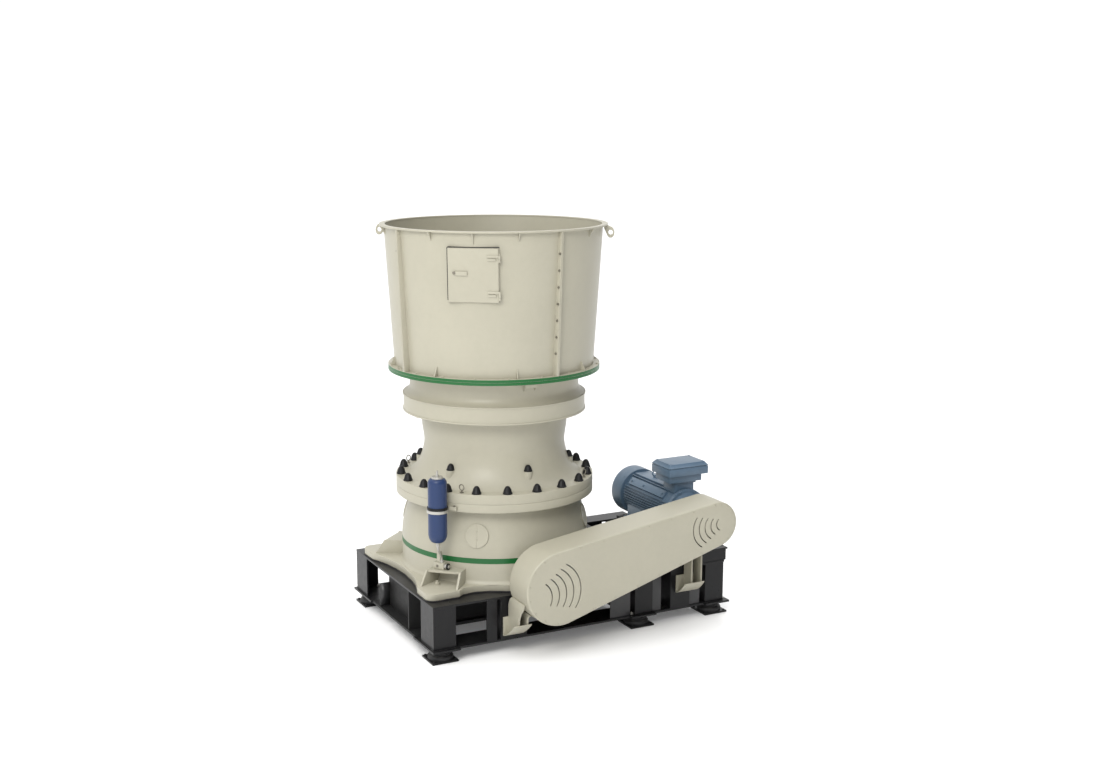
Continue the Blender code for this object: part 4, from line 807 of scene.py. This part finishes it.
def hopper_wall(name, degrees, lug_above, has_door):
    """A quarter of the hopper: curved wall, seam bars, gussets and any door frame."""
    low, high = HOPPER_FLANGE_TOP + GAP, HOPPER_TOP - GAP
    foot_r, top_r = wall_r(low), wall_r(high)
    wall = lathe([(top_r, high), (foot_r, low), (foot_r - WALL_T, low), (top_r - WALL_T, high)],
                 40, start=degrees - 44.99, sweep=89.98)
    shapes = []
    if has_door:
        at = door_matrix(degrees)
        y, z = DOOR_HALF - 0.03, DOOR_TALL - 0.03
        wall = carve(wall, [block((-0.2, -y, -z), (0.2, y, z), 0, at)])
        shapes = door_frame(at)
    shapes.insert(0, wall)
    bar = [(foot_r - 0.006, low), (foot_r + SEAM_REACH, low),
           (top_r + SEAM_REACH - 0.03, high), (top_r - 0.006, high)]
    for side in (-1, 1):
        offset = -side * (SEAM_T / 2 + 0.0002)
        shapes.append(plate(bar, SEAM_T, radial(degrees + side * 45, offset), 0.002))
    for step in (-22.5, 0, 22.5):
        gussets = []
        if step or not lug_above:
            z = high - (0.095 if step else 0.125)
            gussets.append([(wall_r(z) - 0.006, z), (wall_r(z) + 0.006, z),
                            (top_r + 0.053, high - 0.012), (top_r + 0.053, high),
                            (top_r - 0.006, high)])
        if step:
            z = low + 0.11
            gussets.append([(foot_r - 0.006, low), (foot_r + 0.062, low),
                            (foot_r + 0.062, low + 0.012), (wall_r(z) + 0.004, z),
                            (wall_r(z) - 0.006, z)])
        shapes += [plate(line, 0.012, radial(degrees + step), 0.001) for line in gussets]
    piece(name + "_sheet", shapes, "hopper", name)


for i, where in enumerate(("front", "right", "rear", "left")):
    hopper_wall("hopper_wall_" + where, HOPPER_BASE + i * 90, i % 2 == 1, i == 0)


def rounded(half_x, half_y, r, steps=6):
    """A rectangle with round corners."""
    points = []
    for i, (sx, sy) in enumerate(((1, 1), (-1, 1), (-1, -1), (1, -1))):
        points.extend(arc(sx * (half_x - r), sy * (half_y - r), r, 90 * i, 90 * (i + 1),
                          steps))
    return points


DOOR_FACE = 0.0263      # outer face of the door's plate, from the wall's own face
STRAP_FACE = 0.04
STRAP_GAPS = ((0.199, HINGE_Z[1] - 0.03), (-0.208, HINGE_Z[0] - 0.03))
LATCH_Y = -0.215
LATCH_Z = 0.03
LATCH_FACE = 0.0318


def inspection_door():
    """The door's plate with its two double straps, and the latch that turns on it."""
    at = door_matrix(HOPPER_BASE)
    back = 0.0103
    shapes = [plate(rounded(DOOR_HALF - 0.004, DOOR_TALL - 0.004, 0.01), DOOR_FACE - back,
                    at @ shift((DOOR_FACE + back) / 2, 0, 0) @ SIDEWAYS, 0.003)]
    for gap, low in STRAP_GAPS:
        for up, end in ((1, HINGE_Y - 0.004), (-1, DOOR_HALF - 0.03)):
            z0, z1 = sorted((gap + up * 0.006, gap + up * 0.031))
            shapes.append(block((0.02, DOOR_HALF - 0.125, z0), (STRAP_FACE, end, z1), 0.004,
                                at))
        shapes.append(pin(0.013, gap + 0.031 - low, at @ shift(HINGE_X, HINGE_Y, low), 24))
    piece("door_panel", shapes, "cream", "inspection_door", body="door")
    pivot = at @ shift(0, LATCH_Y, LATCH_Z)
    parts = [((LATCH_FACE, 0.014, -0.03), (LATCH_FACE + 0.013, 0.15, 0.016), 0.005),
             ((LATCH_FACE, -0.01, -0.012), (LATCH_FACE + 0.01, 0.04, 0.008), 0.003),
             ((-0.04, -0.035, -0.012), (-0.028, 0.012, 0.012), 0.002)]
    bar = [block(*part, pivot) for part in parts]
    piece("latch_bar", bar, "cream", "door_latch", body="latch")
    knob = [pin(0.008, 0.08, pivot @ shift(-0.036, 0, 0) @ ALONG_X, 20),
            pin(0.018, 0.017, pivot @ shift(LATCH_FACE, 0, 0) @ ALONG_X, 32, 0.004)]
    piece("latch_knob", knob, "bolt", body="latch")
    # Dark strips along the door's left and top edges: painted shade in the creases round the door.
    edge_shade = [block((-0.03, -DOOR_HALF - 0.009, -DOOR_TALL + 0.02),
                  (0.006, -DOOR_HALF + 0.001, DOOR_TALL + 0.004), 0.002, at),
            block((-0.03, -DOOR_HALF, DOOR_TALL - 0.001), (0.008, DOOR_HALF, DOOR_TALL + 0.01),
                  0.002, at)]
    piece("door_edge_shade", edge_shade, "rubber")


inspection_door()


SEAM_BOLTS = [ring_at(HOPPER_BASE + 45 + i * 90, wall_r(3.5 + 0.192 * k) + 0.04, 3.5 + 0.192 * k)
              @ shift(0, -SEAM_T - 0.0004, 0) @ AGAINST_Y for i in range(4) for k in range(7)]
piece("seam_bolts", stamped(BOLT_M16, SEAM_BOLTS), "bolt")
piece("flange_bolts", circle(BOLT_M16, 20, HOPPER_BASE, 1.258, HOPPER_FLANGE_TOP), "cream")


def hopper_rim():
    shapes = [hoop(1.3, RIM_R, HOPPER_TOP, RIM_TOP, 0.003, 160)]
    drops = [(1.33, -0.004), (1.33, 0.03), (1.375, 0.125), (1.4, 0.145), (1.43, 0.14),
             (1.452, 0.11), (1.452, 0.06), (1.43, 0.02), (1.38, -0.004)]
    lug = soften([(r, HOPPER_TOP - down) for r, down in drops], 0.03)
    for degrees in (-35.7, 144.3):
        eye = pin(0.028, 0.1, radial(degrees) @ shift(1.408, HOPPER_TOP - 0.078, -0.05))
        body = carve(plate(lug, 0.028, radial(degrees), 0), [eye])
        shapes.append(bevel(body, 0.002, 2, 60))
    piece("rim", shapes, "hopper", "hopper_rim")


hopper_rim()


# Pressure bottle and its valve.


ALONG_ARM = spin(BOTTLE_ANGLE)
AT_BOTTLE = ALONG_ARM @ shift(BOTTLE_REACH, 0, 0)


def dome(r0, z0, r1, z1, steps=8):
    """A quarter of an ellipse from the radius r0 at z0 to r1 at z1."""
    return [(r1 + (r0 - r1) * math.cos(math.pi / 2 * i / steps),
             z0 + (z1 - z0) * math.sin(math.pi / 2 * i / steps)) for i in range(steps + 1)]


def bottle():
    low, high = BOTTLE_LOW, BOTTLE_HIGH
    top = dome(BOTTLE_R, high - 0.06, 0.074, high - 0.004)
    end = dome(BOTTLE_R, low + 0.11, 0.046, low)
    line = [(0, high - 0.004)] + top[::-1] + end + [(0, low)]
    piece("pressure_bottle", rod(line, AT_BOTTLE, 72), "blue", "accumulator_bottle")
    collar = [(0, 0.02), (0.067, 0.02), (0.069, -0.006), (0, -0.006)]
    stem = [(0, 0.088), (0.01, 0.088), (0.011, 0.044), (0.017, 0.04), (0.019, 0.018),
            (0, 0.018)]
    foot = [(0, 0.004), (0.034, 0.004), (0.032, -0.014), (0.022, -0.016), (0.02, -0.03),
            (0, -0.03)]
    shapes = [rod(line, AT_BOTTLE @ shift(0, 0, z), 40, edge) for line, z, edge in
              ((collar, high, 0.004), (stem, high, 0.002), (foot, low, 0.002))]
    piece("bottle_fittings", shapes, "zinc")


def clamp():
    r, z = BOTTLE_R + GAP, CLAMP_Z
    band = hoop(r, r + 0.013, z - 0.036, z - 0.002, 0.003, 72, AT_BOTTLE)
    piece("bottle_clamp", band, "zinc", "accumulator_clamp")
    piece("clamp_pad", hoop(r, r + 0.011, z - 0.001, z + 0.03, 0.003, 72, AT_BOTTLE), "cap")
    arm = block((FLANGE_R - 0.004, -0.045, z - 0.028),
                (BOTTLE_REACH - BOTTLE_R + 0.004, 0.185, z + 0.016), 0.005, ALONG_ARM)
    piece("clamp_arm", arm, "cream")
    bolt = [ALONG_ARM @ shift(FLANGE_R + 0.01, 0.15, z + 0.015)]
    piece("clamp_bolt", stamped(BOLT_M16, bolt), "bolt")


def tube(path, radius, matrix, around=16):
    """A round tube along a path drawn in X and Z."""
    shape = bmesh.new()
    rings = []
    for i, point in enumerate(path):
        ahead = Vector(path[min(i + 1, len(path) - 1)]) - Vector(path[max(i - 1, 0)])
        ahead.normalize()
        across = Vector((0, 1, 0))
        third = ahead.cross(across)
        rings.append([shape.verts.new(Vector(point)
                                      + across * radius * math.cos(math.tau * k / around)
                                      + third * radius * math.sin(math.tau * k / around))
                      for k in range(around)])
    for a, b in zip(rings, rings[1:]):
        for k in range(around):
            m = (k + 1) % around
            shape.faces.new((a[k], a[m], b[m], b[k]))
    shape.faces.new(rings[0])
    shape.faces.new(list(reversed(rings[-1])))
    return move(tidy(shape), matrix)


def valve():
    at = ALONG_ARM
    body = block((VALVE_R - 0.05, -0.1, FOOT_TOP + GAP), (VALVE_R + 0.05, 0.04, 1.03), 0.006, at)
    piece("valve_body", body, "cream", "valve_block")
    plug = [at @ shift(VALVE_R + 0.05, -0.045, 0.99) @ ALONG_X]
    piece("valve_plug", stamped(BOLT_M16, plug), "bolt")
    side = at @ shift(VALVE_R + 0.01, 0.038, 0.988) @ ALONG_Y
    piece("valve_nut", [pin(0.03, 0.032, side, 32), pin(0.022, 0.058, side, 24)], "zinc")
    piece("valve_knob", hoop(0.024, 0.037, 0.03, 0.052, 0.004, 40, side), "cap")
    high, low = BOTTLE_LOW - 0.0303, 1.0303
    path = [(BOTTLE_REACH, 0, high)]
    for i in range(17):
        t = i / 16
        blend = t * t * (3 - 2 * t)
        path.append((BOTTLE_REACH + (VALVE_R + 0.02 - BOTTLE_REACH) * blend, 0,
                     high - 0.03 + (low - high + 0.06) * t))
    path.append((VALVE_R + 0.02, 0, low))
    nuts = stamped(template(pin(0.021, 0.024, HERE, 6, 0.002)),
                   [at @ shift(*path[0]) @ DOWN, at @ shift(*path[-1])])
    piece("bottle_pipe", [tube(path, 0.012, at), nuts], "zinc", "accumulator_pipe")
    tab = block((VALVE_R - 0.02, -0.062, low), (VALVE_R + 0.03, -0.016, 1.155), 0.004, at)
    piece("pipe_bracket", tab, "cream")


bottle()
clamp()
valve()


# Belt drive.


SPAN = Vector((MOTOR_X, MOTOR_Z - SHAFT_Z))


def belt_outline(r1, r2, steps=40):
    """The line of a belt round two wheels, drawn in X and Z."""
    base = math.atan2(SPAN.y, SPAN.x)
    lead = math.acos((r1 - r2) / SPAN.length)
    low, high = math.degrees(base - lead), math.degrees(base + lead)
    points = arc(0, SHAFT_Z, r1, high, low + 360, steps)
    points.extend(arc(MOTOR_X, MOTOR_Z, r2, low, high, steps))
    return points


def circle_through(three):
    (x1, z1), (x2, z2), (x3, z3) = three
    d = 2 * (x1 * (z2 - z3) + x2 * (z3 - z1) + x3 * (z1 - z2))
    s1, s2, s3 = x1 * x1 + z1 * z1, x2 * x2 + z2 * z2, x3 * x3 + z3 * z3
    cx = (s1 * (z2 - z3) + s2 * (z3 - z1) + s3 * (z1 - z2)) / d
    cz = (s1 * (x3 - x2) + s2 * (x1 - x3) + s3 * (x2 - x1)) / d
    return cx, cz, math.hypot(x1 - cx, z1 - cz)


def arc_slot(three, width):
    """A curved slot with round ends through three points of the guard's face."""
    cx, cz, radius = circle_through(three)
    angles = [math.degrees(math.atan2(z - cz, x - cx)) for x, z in three]
    for i in (1, 2):
        while angles[i] - angles[i - 1] > 180:
            angles[i] -= 360
        while angles[i] - angles[i - 1] < -180:
            angles[i] += 360
    outer = arc(cx, cz, radius + width / 2, angles[0], angles[2], 14)
    inner = arc(cx, cz, radius - width / 2, angles[2], angles[0], 14)
    return plate(outer + inner, 0.06, radial(0, GUARD_FRONT + GUARD_T / 2), 0)


LEFT_SLOTS = (((-0.207, 0.95), (-0.121, 0.801), (-0.145, 0.682)),
              ((0.058, 1.15), (0.253, 0.831), (0.183, 0.611)))
RIGHT_SLOTS = (((1.834, 1.472), (1.781, 1.323), (1.914, 1.094)),
               ((2.139, 1.411), (2.113, 1.357), (2.16, 1.274)))


def guard():
    depth = GUARD_BACK - GUARD_FRONT - GUARD_T - GAP
    middle = (GUARD_FRONT + GUARD_BACK - GUARD_T - GAP) / 2
    shell = plate(belt_outline(GUARD_R1, GUARD_R2), depth, radial(0, middle), 0)
    edges = [e for e in shell.edges if len(e.link_faces) == 2
             and e.calc_face_angle(0) > math.radians(60)
             and all(v.co.y < GUARD_FRONT + 0.001 for v in e.verts)]
    bmesh.ops.bevel(shell, geom=edges, offset=0.022, segments=5, profile=0.5, affect="EDGES")
    inner = plate(belt_outline(GUARD_R1 - GUARD_T, GUARD_R2 - GUARD_T), 0.6,
                  radial(0, GUARD_FRONT + GUARD_T + 0.3), 0)
    cutters = [inner]
    for first, last in (LEFT_SLOTS, RIGHT_SLOTS):
        for i in range(5):
            t = i / 4
            three = [(a[0] + (b[0] - a[0]) * t, a[1] + (b[1] - a[1]) * t)
                     for a, b in zip(first, last)]
            cutters.append(arc_slot(three, 0.012))
    piece("belt_guard", carve(shell, cutters), "cream", "guard_shell")
    back = plate(belt_outline(GUARD_R1, GUARD_R2), GUARD_T, radial(0, GUARD_BACK - GUARD_T / 2), 0)
    holes = [pin(0.15, 0.3, shift(0, GUARD_BACK - 0.15, SHAFT_Z) @ ALONG_Y, 48),
             pin(0.085, 0.3, shift(MOTOR_X, GUARD_BACK - 0.15, MOTOR_Z) @ ALONG_Y, 48)]
    piece("guard_back_sheet", bevel(carve(back, holes), 0.003, 2, 60), "cream", "guard_back")
    line = belt_outline(GUARD_R1 - 0.03, GUARD_R2 - 0.03, 8)
    places = []
    for a, b in zip(line, line[1:] + line[:1]):
        a, b = Vector(a), Vector(b)
        count = max(1, round((b - a).length / 0.3))
        for k in range(count):
            p = a + (b - a) * k / count
            places.append(shift(p.x, GUARD_FRONT, p.y) @ AGAINST_Y)
    piece("guard_screws", stamped(BOLT_M8, places), "cream")


guard()


WALL_FRONT = -1.2693
GIRDER_FACE = -1.2493


def guard_cradle(name, span, wall_z, floor_line, ribs):
    """A cradle on the girder: wall, curved floor and ribs that carry the guard."""
    x0, x1 = span
    shapes = [block((x0, WALL_FRONT, wall_z[0]), (x1, GIRDER_FACE, wall_z[1]), 0.004)]
    floor = flow(floor_line, 4)
    over = [(y, z + 0.014) for y, z in reversed(floor)]
    shapes.append(plate(floor + over, x1 - x0, shift((x0 + x1) / 2, 0, 0) @ SIDEWAYS,
                        0.002))
    for x, rest in ribs:
        outline = [(y, z + 0.006) for y, z in floor[1:-1]] + rest
        shapes.append(plate(outline, 0.022, shift(x, 0, 0) @ SIDEWAYS, 0.003))
    piece(name + "_cradle", shapes, "cream", name)


guard_cradle("guard_bracket_left", (-0.497, -0.262), (0.212, 0.44),
             [(GIRDER_FACE, 0.208), (-1.3, 0.224), (-1.38, 0.27), (-1.46, 0.33),
              (-1.535, 0.398)],
             ((-0.422, [(-1.53, 0.47), (-1.56, 0.54), (-1.64, 0.64), (-1.66, 0.7),
                        (-1.345, 0.7), (-1.305, 0.67), (-1.278, 0.63), (-1.264, 0.585)]),
              (-0.312, [(-1.53, 0.47), (-1.555, 0.505), (-1.6, 0.535), (-1.64, 0.545),
                        (-1.324, 0.545), (-1.324, 0.59), (-1.3, 0.575), (-1.275, 0.535),
                        (-1.264, 0.495)])))
guard_cradle("guard_bracket_right", (1.882, 2.172), (0.374, 0.595),
             [(GIRDER_FACE, 0.37), (-1.29, 0.382), (-1.35, 0.42), (-1.405, 0.472),
              (-1.45, 0.525)],
             [(x, [(-1.425, 0.53), (-1.425, top), (-1.324, top), (-1.324, 1.12),
                   (-1.264, 1.12)]) for x, top in ((2.003, 1.008), (2.14, 1.05))])


def frame_webs():
    """The plates between the posts, the beam with its cut corner and the web at the end. The
    plates and a thin sheet on the corner take painted light, the beam and the end web painted
    shade.
    """
    y = GIRDER_OUT - 0.022
    shapes = [block((x0, y - 0.006, 0.168), (x1, y + 0.006, 0.667), 0.002)
              for y in (-y, y) for x0, x1 in ((0.96, 1.241), (1.549, 1.681), (2.089, 2.249))]
    # The webs between the posts take the lighter copy of the frame's black: painted light.
    piece("girder_webs", shapes, "web")
    low, high = 0.1703, 0.6647
    outline = [(-1.362, low), (1.287, low), (1.287, high), (-1.236, high), (-1.236, 0.462),
               (-1.362, 0.462)]
    beam = [plate(outline, 0.025, radial(0, 0.465), 0.002)]
    for z0, z1 in ((0.6525, FRAME_TOP), (RAIL_BOTTOM, 0.1825)):
        beam.append(block((-1.2167, 0.395, z0), (1.232, 0.535, z1), 0.002))
    # The beam takes the darker copy of the frame's black: painted shade.
    piece("beam_rear_cut", beam, "shaded_inside", "inner_beam_rear")
    # A thin sheet on the beam's cut corner in the lighter copy of the frame's black: painted
    # light.
    cover = block((-1.362, 0.4515, low), (-1.238, 0.4524, 0.462), 0.0002)
    piece("beam_rear_end", cover, "web")
    # The end web takes the darker copy of the frame's black: painted shade.
    end = block((-1.236, -0.452, low), (-1.212, 0.452, high), 0.002)
    piece("end_web", end, "shaded_inside")


frame_webs()


def housing():
    """The countershaft housing between the casing and the guard."""
    base = shift(0, 0, SHAFT_Z) @ AGAINST_Y
    line = [(0, 1.3), (0.14, 1.3), (0.14, 1.262), (0.2, 1.258), (0.2, 1.24), (0.255, 1.24),
            (0.255, 1.2), (0.2, 1.2), (0.2, 0.95), (0, 0.95)]
    low = block((-0.5, -1.246, 0.4), (0.5, -0.8, PLATE_TOP + GAP), 0)
    body = carve(rod(line, base, 72, 0.006), [low])
    places = [base @ spin(30 * i + 15) @ shift(0.228, 0, 1.24) for i in range(12)]
    places = [m for m in places if m.translation.z > PLATE_TOP + 0.03]
    piece("shaft_housing", [body, stamped(BOLT_M16, places)], "cream_cast", "countershaft_housing")


housing()


# Motor.


MOTOR_BODY = (-1.04, 0.01)
COWL_BACK = 0.262
MOTOR_R = 0.262
COWL_R = 0.308
COWL_DROP = 0.015
RAIL_TOP = 1.02
BOX_LOW = 1.71
PAD_ANGLE = 48        # from the top of the motor to the middle of each bolted pad
MOTOR_MIDDLE = shift(MOTOR_X, 0, MOTOR_Z)
AT_MOTOR = MOTOR_MIDDLE @ ALONG_Y


def motor_frame():
    """The ribbed body with its bolted pads, feet and lifting eye."""
    y0, y1 = MOTOR_BODY
    shapes = [pin(MOTOR_R - 0.01, y1 - y0, AT_MOTOR @ shift(0, 0, y0), 72, 0.004)]
    fin = [(MOTOR_R - 0.014, y0 + 0.02), (MOTOR_R + 0.023, y0 + 0.034),
           (MOTOR_R + 0.023, y1 - 0.034), (MOTOR_R - 0.014, y1 - 0.02)]
    fins = 52
    for i in range(fins):
        degrees = 360 * (i + 0.5) / fins
        off_top = abs(degrees - 90)
        if off_top > 26 and abs(off_top - PAD_ANGLE) > 11 and abs(degrees - 270) > 34:
            shapes.append(plate(fin, 0.009, MOTOR_MIDDLE @ tilt(-degrees), 0.001))
    for side in (-1, 1):
        at = MOTOR_MIDDLE @ tilt(side * PAD_ANGLE)
        bolts = [at @ shift(0, y, MOTOR_R + 0.019) for y in (y0 + 0.2, -0.4, y1 - 0.13)]
        x = MOTOR_X + side * 0.215
        shapes += [block((-0.052, y0 + 0.15, MOTOR_R - 0.03),
                         (0.052, y1 - 0.08, MOTOR_R + 0.02), 0.008, at),
                   stamped(BOLT_M16, bolts),
                   block((x - 0.075, y0 + 0.05, RAIL_TOP),
                         (x + 0.075, y1 - 0.06, RAIL_TOP + 0.04), 0.006),
                   block((x - 0.035, y0 + 0.08, RAIL_TOP + 0.02),
                         (x + 0.02, y1 - 0.09, MOTOR_Z - 0.1), 0.004)]
    for half, back, front, low, high, edge in (
            (0.14, -1.02, -0.76, MOTOR_Z + 0.2, BOX_LOW - GAP, 0.01),
            (0.16, -1.035, -0.745, BOX_LOW - 0.026, BOX_LOW - GAP, 0.004),
            (0.11, -0.74, y1 - 0.03, MOTOR_Z + 0.235, MOTOR_Z + 0.262, 0.008)):
        shapes.append(block((MOTOR_X - half, back, low), (MOTOR_X + half, front, high), edge))
    feet = [shift(MOTOR_X + side * 0.25, y, RAIL_TOP + 0.04)
            for side in (-1, 1) for y in (y0 + 0.12, y1 - 0.13)]
    piece("motor_frame", shapes + [stamped(BOLT_M24, feet)], "slate", "motor_body")
    at = MOTOR_MIDDLE @ shift(0, -0.33, 0.26)
    eye = [pin(0.02, 0.03, at, 16), torus(0.032, 0.009, at @ shift(0, 0, 0.052) @ AGAINST_Y)]
    piece("motor_eye", eye, "slate")


def motor_ends():
    """The end shield towards the belt and the fan cowl at the back."""
    y0, y1 = MOTOR_BODY
    front, back = -1.13, COWL_BACK
    shield = [(0, y0 - GAP), (0.278, y0 - GAP), (0.278, y0 - 0.05), (0.24, y0 - 0.052),
              (0.2, front + 0.012), (0.12, front), (0, front)]
    ring = [AT_MOTOR @ spin(45 * i + 22.5) @ shift(0.26, 0, y0 - 0.05) @ DOWN
            for i in range(8)]
    piece("motor_shield", [rod(shield, AT_MOTOR, 72, 0.006), stamped(BOLT_M16, ring)], "slate",
          "motor_end_shield")
    cowl = [(0, back - 0.004), (0.08, back - 0.004)]
    for k in range(6):
        r = 0.09 + k * 0.026
        cowl += [(r, back - 0.004), (r + 0.004, back - 0.014), (r + 0.012, back - 0.014),
                 (r + 0.016, back - 0.004)]
    cowl += arc(COWL_R - 0.04, back - 0.04, 0.04, 90, 0, 8)
    cowl += [(COWL_R, y1 + 0.012), (COWL_R - 0.004, y1 + 0.0004), (0, y1 + 0.0004)]
    at = shift(0, 0, -COWL_DROP) @ AT_MOTOR
    screws = [at @ spin(90 * i + 45) @ shift(COWL_R, 0, y1 + 0.04) @ ALONG_X for i in range(4)]
    piece("motor_cowl", [rod(cowl, at, 80), stamped(BOLT_M8, screws)], "slate", "motor_fan_cowl")


def motor_terminals():
    """The terminal box, with its tapered lid."""
    lid = block((1.852, -1.108, 1.903), (2.422, -0.692, 1.955), 0.008)
    for v in lid.verts:
        if v.co.z > 1.929:
            v.co.x += math.copysign(0.034, 2.137 - v.co.x)
            v.co.y += math.copysign(0.03, -0.9 - v.co.y)
    screws = [shift(x, y, 1.953) for x in (1.904, 2.37) for y in (-1.054, -0.746)]
    shapes = [block((1.885, -1.07, BOX_LOW + GAP), (2.35, -0.73, 1.83), 0.012),
              block((1.852, -1.108, 1.8), (2.422, -0.692, 1.9), 0.01), lid,
              stamped(BOLT_M8, screws)]
    piece("motor_terminals", shapes, "slate", "motor_terminal_box")


motor_frame()
motor_ends()
motor_terminals()


# Bolts of the frame and the casing's feet.


places = [ring_at(angle, 1.34, PLATE_TOP) for angle in ANCHOR_ANGLES]
piece("anchor_bolts", stamped(BOLT_M36, places), "cream")
places = [shift(x + dx, side * (FOOT_Y + 0.1), RAIL_BOTTOM + 0.025)
          for side in (-1, 1) for x in FOOT_X for dx in (-0.125, 0.125)]
piece("foot_bolts", stamped(BOLT_M24, places), "zinc")
places = [shift(x, y, 0.85) for y in (-1.14, -0.78, -0.16, 0.06) for x in (1.655, 2.634)]
places += [shift(MOTOR_X + side * 0.215 + 0.05, y, RAIL_TOP)
           for side in (-1, 1) for y in (-1.095, 0.095)]
piece("platform_bolts", stamped(BOLT_M16, places), "zinc")

KEPT = {
    "black": ("front_girder", "rear_girder", "end_strip_top", "motor_platform",
              "motor_rail_left", "motor_rail_right"),
    # The frame's inner beams and cross beams take the darker copy of its black: painted shade.
    "shaded_inside": ("cross_beam_centre", "cross_beam_motor", "cross_beam_right",
               "end_strip_bottom", "inner_beam_front"),
    "rubber": ("base_packing", "drive_belt"),
    "steel": ("crusher_pulley", "motor_pulley"),
}
for look, names in KEPT.items():
    for name in names:
        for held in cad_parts[name].material_slots:
            held.material = LOOKS[look]


# Studio.


def studio():
    mesh = bpy.data.meshes.new("floor")
    reach = 120
    mesh.from_pydata([(-reach, -reach, 0), (reach, -reach, 0), (reach, reach, 0),
                      (-reach, reach, 0)], [], [(0, 1, 2, 3)])
    floor = bpy.data.objects.new("floor", mesh)
    STUDIO.objects.link(floor)
    material = bpy.data.materials.new("pale_floor")
    g = Graph(material)
    pale = g.mix(g.noise(60, 3), (0.95, 0.95, 0.952), (0.975, 0.975, 0.975))
    g.set(Base_Color=pale, Roughness=0.1, Specular_IOR_Level=0.14,
          Emission_Color=(1, 1, 1, 1), Emission_Strength=0.1)
    mesh.materials.append(material)

    world = bpy.data.worlds.new("studio")
    bpy.context.scene.world = world
    g = Graph(world, "Background", "Generated")
    darker_side = Vector((0.8, -0.6, 0)).normalized()
    around = g.span(g.dot(g.where, darker_side), 0.22, 0.82, 1.04, 0.14)
    above = g.span(g.split(g.where)[2], 0.45, 0.95, 0, 0.95)
    g.set(Color=(1, 1, 1, 1), Strength=g.math("ADD", around, above))

    lamp = bpy.data.lights.new("key", "AREA")
    lamp.shape = "DISK"
    lamp.size = 6
    lamp.energy = 900
    lamp.color = (1, 0.985, 0.95)
    key = bpy.data.objects.new("key", lamp)
    STUDIO.objects.link(key)
    key.location = (-9, -9, 11)
    aim = Vector((0, 0, 1.8)) - Vector(key.location)
    key.rotation_euler = aim.to_track_quat("-Z", "Y").to_euler()

    seen = bpy.data.cameras.new("view")
    camera = bpy.data.objects.new("view", seen)
    STUDIO.objects.link(camera)
    camera.location = (-8.0865, -15.381, 6.242)
    camera.rotation_euler = (math.radians(79.01), 0, math.radians(-26.72))
    seen.lens = 47.02
    seen.sensor_width = 36
    seen.shift_x = 0.0251
    bpy.context.scene.camera = camera
    view = bpy.context.scene.view_settings
    view.view_transform = "Standard"
    view.look = "None"
    view.exposure = 0
    view.gamma = 1


studio()
